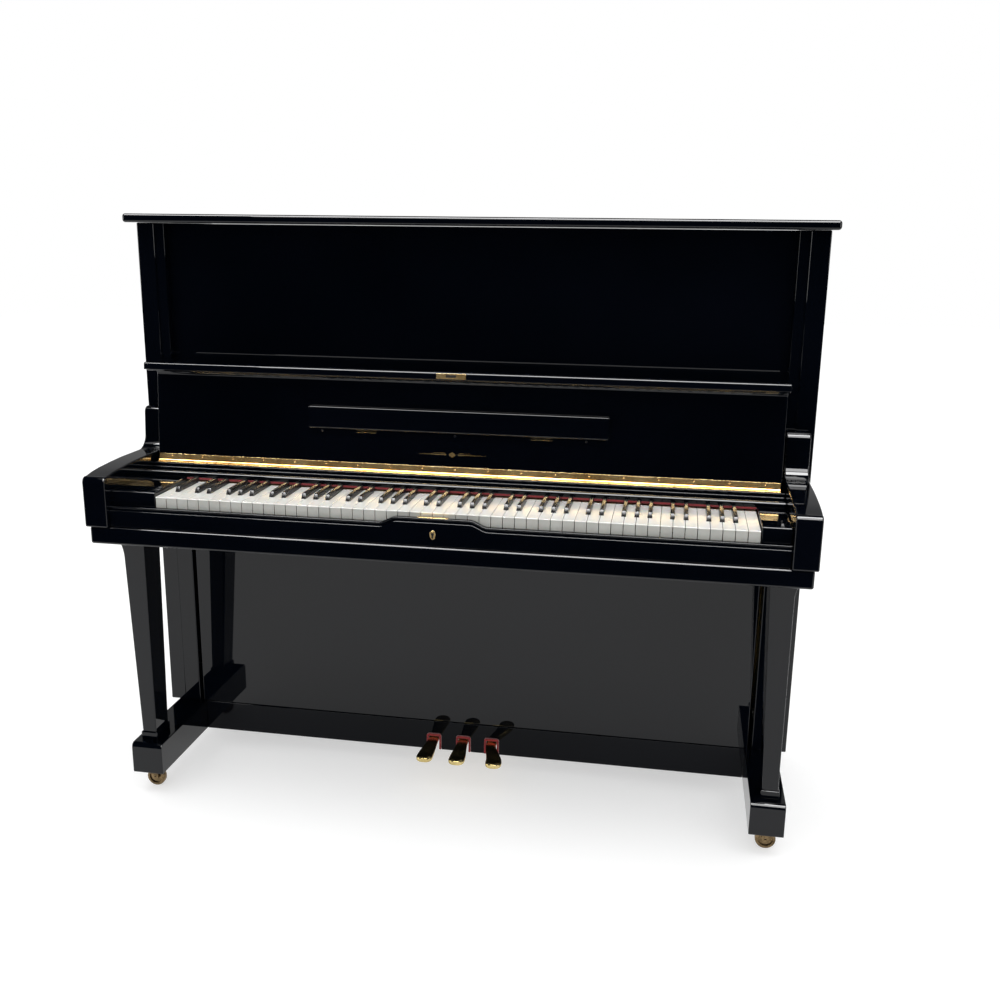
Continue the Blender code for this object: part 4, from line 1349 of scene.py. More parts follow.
@dataclass
class FrontWork:
    """The keybed with its arms, legs, key slip and key blocks."""

    bed_edge: float = 0.0048
    bed_waist: float = 0.7117
    arm_edge: float = 0.0036
    crown: float = 0.787
    front_top: float = 0.768
    riser_depth: float = 0.051
    sweep: float = 0.034
    plinth_height: float = 0.017
    plinth_growth: float = 0.003
    slip_crown: float = 0.073
    slip_flare: float = 0.039
    slip_shoulder: float = 0.7146
    leg_head: float = 0.068
    leg_foot: float = 0.033
    leg_shift: float = 0.004
    leg_depth: float = 0.075
    leg_taper: float = 0.015
    leg_rake: float = 0.038
    leg_setback: float = 0.0855

    def bed(self) -> bpy.types.Object:
        """Build the keybed, wide in front under the arms and narrower inside the case.

        Returns:
            The finished piece.
        """
        low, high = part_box("key_bed")
        inside = self.bed_waist
        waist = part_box("side_board_left")[0].y - 0.0003
        outline = [
            (low.x, low.y),
            (high.x, low.y),
            (high.x, waist),
            (inside, waist),
            (inside, high.y),
            (-inside, high.y),
            (-inside, waist),
            (low.x, waist),
        ]
        made = prism("key_bed_lacquered", outline, Axis.Z, (low.z, high.z), self.bed_edge, 5)
        return seat(made, CASE, "black_lacquer", LACQUER, "key_bed")

    def arm(self, side: Side) -> bpy.types.Object:
        """Build one arm: a flat top that sweeps up behind into a rounded riser.

        Args:
            side: which side.

        Returns:
            The finished piece.
        """
        node = f"arm_{side.word}"
        low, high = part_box(node)
        riser = high.y - self.riser_depth
        outline = [(high.y, low.z)]
        outline += arc((high.y - 0.004, high.z - 0.004), 0.004, 0, 90, 4)
        outline += arc((riser + 0.022, high.z - 0.014), 0.014, 90, 165, 10)
        outline += arc(
            (riser + 0.004 - self.sweep, self.crown + self.sweep), self.sweep, -8, -88, 18
        )
        slope = [
            ((low.y + 0.160), self.crown + 0.0005),
            ((low.y + 0.115), self.crown - 0.0010),
            ((low.y + 0.070), self.crown - 0.0032),
            ((low.y + 0.040), self.crown - 0.0062),
        ]
        outline += slope
        outline += arc((low.y + 0.012, self.front_top - 0.0030), 0.012, 74, 180, 12)
        outline += [(low.y, low.z)]
        made = prism(f"{node}_lacquered", outline, Axis.X, (low.x, high.x), self.arm_edge, 4)
        return seat(made, CASE, "black_lacquer", LACQUER, node)

    def leg(self, side: Side) -> bpy.types.Object:
        """Build one leg on its small plinth block.

        Args:
            side: which side.

        Returns:
            The finished piece.
        """
        node = f"leg_{side.word}"
        low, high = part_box(node)
        toe_low, toe_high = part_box(f"toe_{side.word}")
        middle = (abs(toe_low.x) + abs(toe_high.x)) / 2
        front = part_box("key_bed")[0].y + self.leg_setback
        sole = low.z + self.plinth_height
        inner = side.value * (middle - self.leg_head / 2)
        post = LEG.grow(
            f"{node}_post",
            {
                "Height": high.z - sole,
                "Head width": self.leg_head,
                "Foot width": self.leg_foot,
                "Foot shift": self.leg_shift,
                "Depth": self.leg_depth,
                "Back taper": self.leg_taper,
                "Rake": self.leg_rake,
                "Side": float(side.value),
                "Inner top corner": (inner, front, high.z),
                "Finish": LACQUER.material(),
            },
        )
        if side is Side.LEFT:
            post.data.flip_normals()
        rounded(post, 0.0022, 3)
        half = self.leg_foot / 2 + self.plinth_growth
        x = sorted(side.value * (middle + self.leg_shift + turn * half) for turn in (-1, 1))
        sole_front = front + self.leg_rake
        sole_back = sole_front + self.leg_depth - self.leg_taper
        block = slab(
            f"{node}_block",
            (x[0], sole_front - self.plinth_growth, low.z),
            (x[1], sole_back + self.plinth_growth, sole + 0.001),
            0.0022,
        )
        made = merged(f"{node}_lacquered", [post, block])
        return seat(made, CASE, "black_lacquer", LACQUER, node)

    def slip(self) -> bpy.types.Object:
        """Build the key slip: raised in the middle, with a fine bead along its top.

        Returns:
            The finished piece.
        """
        low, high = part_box("key_slip")
        steps = 14

        def top_line(drop: float, reach: float) -> list[Point]:
            """The top edge from right to left, lowered and cut in by the given amounts.

            Args:
                drop: how far it is lowered.
                reach: how far its ends are cut in.

            Returns:
                The points.
            """
            shoulder, crown = self.slip_shoulder - drop, high.z - drop
            points = [(high.x - reach, shoulder)]
            for turn in (1, -1):
                for step in range(steps + 1):
                    share = step / steps if turn > 0 else 1 - step / steps
                    rise = (1 - math.cos(math.pi * share)) / 2
                    x = self.slip_crown + self.slip_flare * (1 - share)
                    points.append((turn * x, shoulder + (crown - shoulder) * rise))
            return points + [(low.x + reach, shoulder)]

        body = prism(
            "key_slip_board",
            [(low.x, low.z), (high.x, low.z), *top_line(0.0032, 0.0)],
            Axis.Y,
            (low.y + 0.0022, high.y),
            0.0006,
            2,
        )
        cap = prism(
            "key_slip_cap",
            [*top_line(0.0038, 0.0)[::-1], *top_line(0.0, 0.0)],
            Axis.Y,
            (low.y, high.y),
            0.0013,
            3,
        )
        face = prism(
            "key_slip_face",
            [(low.x, low.z), (high.x, low.z), *top_line(0.0088, 0.0)],
            Axis.Y,
            (low.y, low.y + 0.004),
            0.0016,
            4,
        )
        made = merged("key_slip_lacquered", [body, cap, face])
        return seat(made, CASE, "black_lacquer", LACQUER, "key_slip")

    def blocks(self) -> None:
        """Build the two key blocks."""
        for side in Side:
            node = f"key_block_{side.word}"
            low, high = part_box(node)
            made = slab(f"{node}_lacquered", low, high, 0.0032, 4)
            seat(made, CASE, "black_lacquer", LACQUER, node)

    def lock(self) -> None:
        """Build the lock's plate in the key slip and the keyhole's escutcheon under it, with a dark
        sheet painting the shade in the hole.
        """
        low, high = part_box("lock_plate")
        frame_outline = [(low.x, low.y), (high.x, low.y), (high.x, high.y), (low.x, high.y)]
        made = prism("lock_plate_brass", frame_outline, Axis.Z, (low.z, high.z), 0.0004, 2)
        seat(made, CASE, "brass", BRASS, "lock_plate")
        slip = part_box("key_slip")
        x, z = (low.x + high.x) / 2, slip[1].z - 0.034
        outline = arc((x, z + 0.003), 0.0062, 0, 180, 12) + arc(
            (x, z - 0.004), 0.0046, 180, 360, 12
        )
        front = slip[0].y
        shield = prism(
            "keyhole_shield", outline, Axis.Y, (front - 0.0008, front + 0.0004), 0.0004, 2
        )
        seat(shield, CASE, "brass", BRASS)
        # Painted shade: a thin satin-black sheet in the keyhole's shape, laid on the escutcheon,
        # stands in for the dark inside of the hole.
        hole = arc((x, z + 0.0022), 0.0027, -60, 240, 10) + [
            (x - 0.0015, z - 0.0058), (x + 0.0015, z - 0.0058)
        ]
        dark = prism("keyhole", hole, Axis.Y, (front - 0.0010, front - 0.0006), 0)
        seat(dark, CASE, "black_lacquer", SATIN)

    def build(self) -> None:
        """Build the front work."""
        self.bed()
        for side in Side:
            self.arm(side)
            self.leg(side)
        self.slip()
        self.blocks()
        self.lock()


# ---------------------------------------------------------------- keyboard


@dataclass
class Keyboard:
    """The keys in their seven groups, on the key frame, with the felt behind them."""

    whites: int = 52
    span: float = 1.225
    offset: float = 0.0197
    gap: float = 0.0009
    head: float = 0.150
    head_height: float = 0.0235
    top_height: float = 0.0026
    overhang: float = 0.0012
    sharp_width: float = 0.0100
    sharp_setback: float = 0.050
    sharp_rise: float = 0.0115
    groups: tuple[tuple[str, int], ...] = (
        ("A0_B1", 9),
        ("C2_B2", 7),
        ("C3_B3", 7),
        ("C4_B4", 7),
        ("C5_B5", 7),
        ("C6_B6", 7),
        ("C7_C8", 8),
    )

    @property
    def pitch(self) -> float:
        """The distance from one white key to the next."""
        return self.span / self.whites

    def white(self) -> tuple[bpy.types.Object, bpy.types.Object]:
        """One white key: the cap that overhangs, and the body under it, from their front left.

        Returns:
            The cap and the body.
        """
        width = self.pitch - self.gap
        cap = slab("cap", (0, 0, -self.top_height), (width, self.head, 0), 0.0008, 3)
        body = slab(
            "body", (0.0002, self.overhang, -self.head_height),
            (width - 0.0002, self.head, -self.top_height), 0.0004, 2
        )
        return cap, body

    def sharp(self) -> bpy.types.Object:
        """One sharp about its front foot: sides that lean in, a sloping front and rounded edges.

        Returns:
            The new object.
        """
        half, length = self.sharp_width / 2, self.head - 0.002 - self.sharp_setback
        top = half - 0.0011
        rings = []
        for y, share in ((0.0, 0.0), (0.0014, 0.34), (0.0034, 0.80), (0.0052, 0.97), (0.0075, 1.0)):
            z = self.sharp_rise * share
            wide = half - (half - top) * share
            rings.append((y, wide, z))
        rings += [(length - 0.001, top, self.sharp_rise), (length, top, self.sharp_rise)]
        skin = []
        for y, wide, z in rings:
            r = min(0.0014, max(z, 0.0004) * 0.5)
            section = [(-half, -0.004), (half, -0.004)]
            section += arc((wide - r, z - r), r, 0, 90, 4)
            section += arc((-wide + r, z - r), r, 90, 180, 4)
            skin.append([Vector((x, y, h)) for x, h in section])
        return loft("sharp_key", skin, 60.0)

    def stick(self, length: float) -> bpy.types.Object:
        """One key's wooden stick behind its head."""
        return slab(
            "stick", (0.0006, 0, 0), (self.pitch - self.gap - 0.0008, length, 0.0325), 0.0008, 2
        )

    def build_keys(self) -> None:
        """Build the heads, sharps and sticks of each group."""
        left = self.offset - self.span / 2
        places = {0: -0.0014, 1: 0.0014, 3: -0.0020, 4: 0.0, 5: 0.0020}
        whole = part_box("keys_C4_B4")
        front, back = whole[0].y, whole[1].y
        top = whole[1].z - self.sharp_rise
        under = whole[0].z
        (cap, front_block), sharp = self.white(), self.sharp()
        stick = self.stick(back - front - self.head + 0.003)
        first = 0
        for name, count in self.groups:
            body = f"keys_{name}"
            start = left + first * self.pitch + self.gap / 2
            step = (self.pitch, 0, 0)
            drift = (0.00003, 0.00012, 0.00010)
            # The key bodies take the darker acrylic: painted shade on the key fronts.
            heads = [
                row(
                    f"white_keys_{name}", piece, count, (start, front, top), step, finish,
                    (0, 0, 0.0006), drift,
                    seed=first, keep=True,
                )
                for piece, finish in ((cap, KEY_TOP), (front_block, SHADED_KEY_FRONT))
            ]
            seat(merged(f"white_keys_{name}", heads), body, "keys", None, body)
            sticks = row(
                f"key_sticks_{name}", stick, count, (start, front + self.head - 0.003, under), step,
                KEY_STICK,
                keep=True,
            )
            seat(sticks, body, "wood", None)
            blacks = []
            for index in range(count):
                note = (first + index - 2) % 7
                if note not in places or first + index + 1 == self.whites:
                    continue
                x = left + (first + index + 1) * self.pitch + places[note]
                blacks.append(
                    row(
                        f"sharp_{first + index}", sharp, 1, (x, front + self.sharp_setback, top),
                        step, EBONY,
                        (0, 0, 0.0008), (0.00005, 0.0001, 0.0001), seed=90 + first + index,
                        keep=True,
                    )
                )
            seat(merged(f"sharps_{name}", blacks), body, "keys", None)
            first += count
        for piece in (cap, front_block, sharp, stick):
            bpy.data.objects.remove(piece)

    def build_frame(self) -> None:
        """Build the key frame, and the felt strip behind the keys."""
        low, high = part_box("key_frame")
        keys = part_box("keys_C4_B4")
        balance = keys[0].y + 0.214
        boxes = [
            ((low.x, balance - 0.020, low.z), (high.x, balance + 0.020, low.z + 0.024)),
            ((low.x, keys[0].y + 0.010, low.z), (high.x, keys[0].y + 0.045, low.z + 0.012)),
            ((low.x, keys[1].y - 0.050, low.z), (high.x, keys[1].y - 0.015, low.z + 0.020)),
            ((low.x, balance - 0.003, low.z + 0.020), (high.x, balance + 0.003, high.z)),
        ]
        for x in (low.x, self.offset - 0.020, high.x - 0.040):
            boxes.append(
                ((x, keys[0].y + 0.014, low.z), (x + 0.040, keys[1].y - 0.020, low.z + 0.008))
            )
        seat(slabs("key_frame_rails", boxes, 0.0012), CASE, "wood", MAPLE_LONG, "key_frame")
        low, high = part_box("key_felt")
        made = slab("key_back_felt", low, high, 0.0012, 3)
        seat(made, CASE, "red_felt", RED_FELT, "key_felt")

    def build(self) -> None:
        """Build the keyboard."""
        self.build_keys()
        self.build_frame()


# ---------------------------------------------------------------- fallboard


@dataclass
class Fallboard:
    """The open fallboard: its lip, music desk, long hinge and the lock's strike."""

    lean: float = math.radians(5.0)
    length: float = 0.2207
    thickness: float = 0.018
    offset: float = 0.004
    foot: float = 0.0045
    lip_reach: float = 0.0585
    lip_thickness: float = 0.016
    lip_step: float = 0.003
    desk_foot: float = 0.0875
    desk_height: float = 0.050
    desk_thickness: float = 0.012
    rail_nose: float = 0.0055
    rail_step: float = 0.008
    rail_ledge: float = 0.009
    leaf: float = 0.0105
    leaf_places: tuple[float, float] = (-0.1975, 0.1837)
    stop_places: tuple[float, float, float] = (-0.2983, -0.0019, 0.2799)
    ornament_x: float = -0.007
    ornament_rise: float = 0.0415
    ornament_half: float = 0.0085
    cove: float = 0.012
    nose: float = 0.010
    small_step: float = 0.003
    ornament_height: float = 0.0062
    hinge_height: float = 0.770
    hinge_inset: float = 0.003
    knuckle: float = 0.0262
    knuckle_gap: float = 0.0005
    screws: int = 19
    screw_margin: float = 0.030

    def __post_init__(self) -> None:
        """Read the hinge line from the frame."""
        low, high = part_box("fallboard_hinge")
        self.hinge = (high.y - self.hinge_inset, self.hinge_height)
        self.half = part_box("fallboard")[1].x

    def at(self, along: float, out: float) -> Point:
        """The point (y, z) this far up the open board and out from its hinge line."""
        y = self.hinge[0] + along * math.sin(self.lean) - out * math.cos(self.lean)
        z = self.hinge[1] + along * math.cos(self.lean) + out * math.sin(self.lean)
        return (y, z)

    def strip(
        self, name: str, along: Span, out: Span, x: Span, edge: float, segments: int = 3
    ) -> bpy.types.Object:
        """A flat strip on the board.

        Args:
            name: the piece's name.
            along: its limits up the board.
            out: its limits out of the board.
            x: its limits from side to side.
            edge: its rounding.
            segments: the faces across the rounding.

        Returns:
            The new object.
        """
        corners = [(along[0], out[0]), (along[1], out[0]), (along[1], out[1]), (along[0], out[1])]
        return prism(name, [self.at(*c) for c in corners], Axis.X, x, edge, segments)

    def board(self) -> bpy.types.Object:
        """Build the board with its stepped lip.

        Returns:
            The finished piece.
        """
        inner = -self.offset
        outer = inner - self.thickness
        under = self.length - self.lip_thickness
        step = under - self.lip_step
        lip = self.lip_reach
        cove, nose, small = self.cove, self.nose, self.small_step
        turns = [math.radians(angle) for angle in range(10, 91, 10)]
        start = step - cove
        shape = [(self.foot, inner), (start, inner)]
        shape += [(start + cove * math.sin(t), inner + cove * (1 - math.cos(t))) for t in turns]
        shape += [(step, lip - 0.016), (under, lip - 0.013), (under, lip)]
        shape += [(self.length - small, lip), (self.length, lip - small), (self.length, outer + nose)]
        shape += [
            (self.length - nose + nose * math.cos(t), outer + nose - nose * math.sin(t)) for t in turns
        ]
        shape += [(self.foot, outer)]
        made = prism(
            "fallboard_lacquered",
            [self.at(*c) for c in shape],
            Axis.X,
            (-self.half, self.half),
            0.0014,
            3,
        )
        return seat(made, "fallboard", "black_lacquer", LACQUER, "fallboard")

    def desk(self) -> None:
        """Build the folding music desk, with its brass leaves and the bumps it stops on."""
        face = -self.offset + 0.0003
        low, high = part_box("music_desk")
        foot, top = self.desk_foot, self.desk_foot + self.desk_height
        made = self.strip(
            "music_desk_lacquered",
            (foot, top),
            (face, face + self.desk_thickness),
            (low.x, high.x),
            0.0048,
            6,
        )
        seat(made, "music_desk", "black_lacquer", LACQUER, "music_desk")
        leaves = []
        for x in self.leaf_places:
            leaves.append(
                self.strip(
                    "leaf",
                    (foot - 0.0065, foot - 0.0006),
                    (face + 0.0002, face + 0.0014),
                    (x - 0.022, x + 0.022),
                    0.0003,
                )
            )
        seat(merged("music_desk_leaves", leaves), "fallboard", "brass", HINGE_BRASS)
        stops = []
        for x in self.stop_places:
            y, z = self.at(foot - 0.005, face)
            dome = [
                (0.0026, 0.0),
                (0.0026, 0.0008),
                (0.0020, 0.0018),
                (0.0009, 0.0023),
                (0.0002, 0.0024),
            ]
            stops.append(turned("stop", [(r, -a) for r, a in dome], (x, y, z), Axis.Y, 16))
        seat(merged("music_desk_stops", stops), "fallboard", "black_lacquer", SATIN)

    def ornament(self) -> bpy.types.Object:
        """Inlay a plain brass ornament: a lozenge between two fine tapering lines.

        Returns:
            The finished piece.
        """
        face, x, middle = -self.offset, self.ornament_x, self.ornament_rise
        half, height = self.ornament_half, self.ornament_height
        outlines = [
            [(x - half, middle), (x, middle - height), (x + half, middle), (x, middle + height)]
        ]
        for turn in (-1, 1):
            for near, far, thick in ((0.0125, 0.0740, 0.0011), (0.0150, 0.0400, 0.0005)):
                rise = middle if thick > 0.001 else middle + 0.0034
                start, end = x + turn * near, x + turn * far
                outlines.append(
                    [
                        (start, rise - thick),
                        (end, rise - 0.0002),
                        (end, rise + 0.0002),
                        (start, rise + thick),
                    ],
                )
        pieces = []
        for outline in outlines:
            mesh = bmesh.new()
            sheets = []
            for out in (face - 0.0003, face + 0.0004):
                sheets.append([mesh.verts.new((px, *self.at(along, out))) for px, along in outline])
            count = len(outline)
            for index in range(count):
                after = (index + 1) % count
                mesh.faces.new(
                    (sheets[0][index], sheets[0][after], sheets[1][after], sheets[1][index])
                )
            mesh.faces.new(sheets[0][::-1])
            mesh.faces.new(sheets[1])
            pieces.append(object_of("inlay", mesh))
        return seat(merged("fallboard_ornament", pieces), "fallboard", "brass", BRASS)

    def fittings(self) -> None:
        """Build the hinge, its leaves and screws, and the strike in the lip, with a dark strip
        painting the shade in the strike's slot.
        """
        low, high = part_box("fallboard_hinge")
        y, z = self.hinge
        length = self.knuckle
        profile = [(0.0026, 0.0), (0.0030, 0.0004), (0.0030, length - 0.0004), (0.0026, length)]
        knuckle = turned("knuckle", profile, (0, 0, 0), Axis.X, 18)
        pitch = length + self.knuckle_gap
        count = int((high.x - low.x) // pitch)
        barrel = row(
            "barrel", knuckle, count, (-count * pitch / 2, y, z), (pitch, 0, 0), HINGE_BRASS
        )
        leaf = slab("fixed_leaf", (low.x, low.y, low.z), (high.x, y + 0.001, z - 0.0015), 0.0003, 2)
        leaf.data.materials.append(BRASS.material())
        seat(
            merged("fallboard_hinge_brass", [barrel, leaf]), CASE, "brass", BRASS, "fallboard_hinge"
        )
        low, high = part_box("hinge_leaf")
        face = -self.offset + 0.0003
        top, rise = self.foot + self.leaf, self.leaf * math.tan(self.lean)
        section = [
            (self.foot, face), (top, face), (top, face + 0.0008), (self.foot, face + 0.0008 + rise)
        ]
        leaf = prism("moving_leaf", [self.at(*c) for c in section], Axis.X, (low.x, high.x), 0.0003)
        head = screw_head(0.0017, 0.0005)
        spot = self.at(self.foot + self.leaf / 2, face + 0.0007 + rise / 2)
        count = self.screws
        pitch = (high.x - low.x - 2 * self.screw_margin) / (count - 1)
        spin = (math.pi / 2, 0.0, 0.0)
        screws = row(
            "leaf_screws", head, count, (low.x + self.screw_margin, *spot), (pitch, 0, 0), BRASS,
            (0, 0, 0.0), spin=spin
        )
        leaf.data.materials.append(HINGE_BRASS.material())
        seat(merged("hinge_leaf_brass", [leaf, screws]), "fallboard", "brass", BRASS, "hinge_leaf")
        low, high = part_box("lock_strike")
        reach = self.lip_reach + 0.0003
        rise = (self.length - self.lip_thickness + 0.002, self.length - 0.003)
        plate = self.strip("strike_plate", rise, (reach, reach + 0.0012), (low.x, high.x), 0.0003)
        seat(plate, "fallboard", "brass", BRASS, "lock_strike")
        # Painted shade: a thin satin-black strip laid on the strike stands in for the dark inside of
        # its slot.
        middle = self.length - self.lip_thickness / 2
        slot = self.strip(
            "strike_slot",
            (middle - 0.0026, middle + 0.0022),
            (reach + 0.0010, reach + 0.0015),
            (-0.0105, 0.0105),
            0,
        )
        seat(slot, "fallboard", "black_lacquer", SATIN)

    def rail(self) -> bpy.types.Object:
        """Build the rail under the hinge, with its rounded front edge.

        Returns:
            The finished piece.
        """
        low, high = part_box("fallboard_rail")
        r, step, ledge = self.rail_nose, self.hinge[0] - self.rail_step, high.z - self.rail_ledge
        outline = [(high.y, low.z), (high.y, high.z), (step, high.z), (step, ledge)]
        outline += arc((low.y + r, ledge - r), r, 90, 180, 14)
        outline += [(low.y, low.z)]
        made = prism("fallboard_rail_lacquered", outline, Axis.X, (low.x, high.x), 0.0010, 2)
        return seat(made, CASE, "black_lacquer", LACQUER, "fallboard_rail")

    def build(self) -> None:
        """Build the fallboard and what it carries."""
        self.board()
        self.desk()
        self.ornament()
        self.fittings()
        self.rail()


# ---------------------------------------------------------------- pedals


@dataclass
class Pedals:
    """The three brass pedals, the felt round their necks, and the trapwork behind them."""

    names = ("soft", "middle", "sustain")
    neck: float = 0.024
    toe: float = 0.038
    reach: float = 0.112
    straight: float = 0.86
    nose: float = 0.14
    felt_half: float = 0.0178
    felt_top: float = 0.0958
    felt_foot: float = 0.056
    felt_round: float = 0.006
    felt_thickness: float = 0.0048
    felt_inner_round: float = 0.003
    felt_roof: float = 0.0058
    flares: tuple[float, float, float] = (-0.001, 0.003, 0.021)

    @staticmethod
    def neck_middle(name: str) -> float:
        """The middle of a pedal's neck across the piano."""
        return {"soft": -0.0735, "middle": -0.0010, "sustain": 0.0680}[name]

    def pedal(self, name: str, flare: float) -> bpy.types.Object:
        """Build one pedal: a crowned bar that widens to a rounded toe.

        Args:
            name: the pedal's name.
            flare: how far its toe stands aside of its neck.

        Returns:
            The finished piece.
        """
        node = f"pedal_{name}"
        low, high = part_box(node)
        x = self.neck_middle(name)
        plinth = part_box("bottom_board")[0].y
        stations = []
        back = high.y
        for share in (0.0, 0.3, 0.6, 0.85, 1.0):
            stations.append((back + (plinth - back) * share, self.neck / 2, 0.0, 0.0))
        for step in range(1, 15):
            share = step / 14
            ease = smooth_step(share)
            y = plinth - self.reach * self.straight * share
            stations.append(
                (y, self.neck / 2 + (self.toe - self.neck) / 2 * ease, flare * ease, 0.0)
            )
        tip = self.toe / 2
        for angle in (20, 38, 54, 66, 76, 83, 88):
            turn = math.radians(angle)
            y = plinth - self.reach * self.straight - self.reach * self.nose * math.sin(turn)
            stations.append((y, tip * (math.cos(turn) ** 0.62), flare, (angle / 88) ** 3))
        rings = []
        middle, half_height = (low.z + high.z) / 2, (high.z - low.z) / 2
        for y, half, shift, nose in stations:
            thick = half_height * (1 - 0.30 * nose)
            ring = []
            for index in range(32):
                angle = 2 * math.pi * index / 32
                c, s = math.cos(angle), math.sin(angle)
                px = half * math.copysign(abs(c) ** 0.42, c)
                pz = thick * math.copysign(abs(s) ** 0.50, s)
                crown = 0.0016 * (1 - (px / half) ** 2) if pz > 0 else 0.0
                ring.append(Vector((x + shift + px, y, min(middle + pz * 0.88 + crown, high.z))))
            rings.append(ring)
        made = loft(f"{node}_brass", rings, 70.0)
        return seat(made, node, "brass", PEDAL_BRASS, node)

    def felts(self) -> bpy.types.Object:
        """Build the red felt that lines each notch in the plinth.

        Returns:
            The finished piece.
        """
        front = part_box("bottom_board")[0].y
        linings = []
        for name in self.names:
            x, half = self.neck_middle(name), self.felt_half
            top, under, bend = self.felt_top, self.felt_foot, self.felt_round
            outer = [(x - half, under), *arc((x - half + bend, top - bend), bend, 180, 90, 5)]
            outer += [*arc((x + half - bend, top - bend), bend, 90, 0, 5), (x + half, under)]
            thick, r, roof = self.felt_thickness, self.felt_inner_round, top - self.felt_roof
            inner = [(x + half - thick, under), *arc((x + half - thick - r, roof - r), r, 0, 90, 5)]
            inner += [
                *arc((x - half + thick + r, roof - r), r, 90, 180, 5), (x - half + thick, under)
            ]
            linings.append(
                prism("lining", outer + inner, Axis.Y, (front - 0.0008, front + 0.021), 0.0006, 2)
            )
        return seat(merged("pedal_notch_felts", linings), CASE, "red_felt", RED_FELT)

    def trapwork(self) -> None:
        """Build each pedal's lever and rod."""
        for name in self.names:
            low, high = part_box(f"trap_lever_{name}")
            made = slab(f"trap_lever_{name}_maple", low, high, 0.002)
            seat(made, f"trap_lever_{name}", "wood", MAPLE_LONG, f"trap_lever_{name}")
            low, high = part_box(f"pedal_rod_{name}")
            r = (high.x - low.x) / 2
            profile = [
                (r * 0.6, 0.0), (r, 0.004), (r, high.z - low.z - 0.004), (r * 0.6, high.z - low.z)
            ]
            rod = turned(
                f"pedal_rod_{name}_maple",
                profile,
                ((low.x + high.x) / 2, (low.y + high.y) / 2, low.z),
                Axis.Z,
                24,
            )
            seat(rod, f"pedal_rod_{name}", "wood", MAPLE, f"pedal_rod_{name}")

    def build(self) -> None:
        """Build the pedals, felts and trapwork."""
        for name, flare in zip(self.names, self.flares):
            self.pedal(name, flare)
        self.felts()
        self.trapwork()


@dataclass
class Casters:
    """The four casters: a cast fork on a plate, and a turned wheel on its axle."""

    rim: float = 0.022
    width: float = 0.015

    def caster(self, place: str) -> None:
        """Build one caster.

        Args:
            place: the node's ending, such as front_left.
        """
        fork, wheel = f"caster_fork_{place}", f"caster_wheel_{place}"
        low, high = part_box(wheel)
        x, y, z = (low + high) / 2
        z = self.rim
        half = self.width / 2
        profile = [
            (0.0036, -half + 0.0022),
            (0.0062, -half + 0.0022),
            (0.0066, -half + 0.0038),
            (0.0150, -half + 0.0038),
            (0.0156, -half + 0.0004),
            (0.0190, -half),
            (0.0212, -half + 0.0012),
            (0.0220, -half + 0.0036),
            (0.0220, half - 0.0036),
            (0.0212, half - 0.0012),
            (0.0190, half),
            (0.0156, half - 0.0004),
            (0.0150, half - 0.0038),
            (0.0066, half - 0.0038),
            (0.0062, half - 0.0022),
            (0.0036, half - 0.0022),
        ]
        made = turned(f"{wheel}_brass", profile, (x, y, z), Axis.Y, 64)
        seat(made, wheel, "caster_brass", CASTER_BRASS, wheel)
        low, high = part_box(fork)
        plate = slab("plate", (low.x, y - 0.018, high.z - 0.003), high, 0.0008, 2)
        parts = [plate]
        gap = half + 0.001
        for turn in (-1, 1):
            inner, outer = y + turn * gap, y + turn * (gap + 0.003)
            cheek = [(x - 0.009, high.z - 0.002), (x + 0.009, high.z - 0.002), (x + 0.0075, z)]
            cheek += arc((x, z), 0.0072, -10, -170, 12)
            cheek += [(x - 0.0075, z)]
            parts.append(prism("cheek", cheek, Axis.Y, (inner, outer), 0.0006, 2))
            cap = [(0.0034, 0.0), (0.0034, 0.0006), (0.0026, 0.0012), (0.0004, 0.0014)]
            parts.append(
                turned("axle_end", [(r, turn * a) for r, a in cap], (x, outer, z), Axis.Y, 20)
            )
        axle = turned("axle", [(0.003, -gap), (0.003, gap)], (x, y, z), Axis.Y, 20)
        made = merged(f"{fork}_brass", [*parts, axle])
        seat(made, CASE, "caster_brass", CASTER_BRASS, fork)

    def build(self) -> None:
        """Build all four."""
        for end in ("front", "rear"):
            for side in Side:
                self.caster(f"{end}_{side.word}")


# ---------------------------------------------------------------- inside


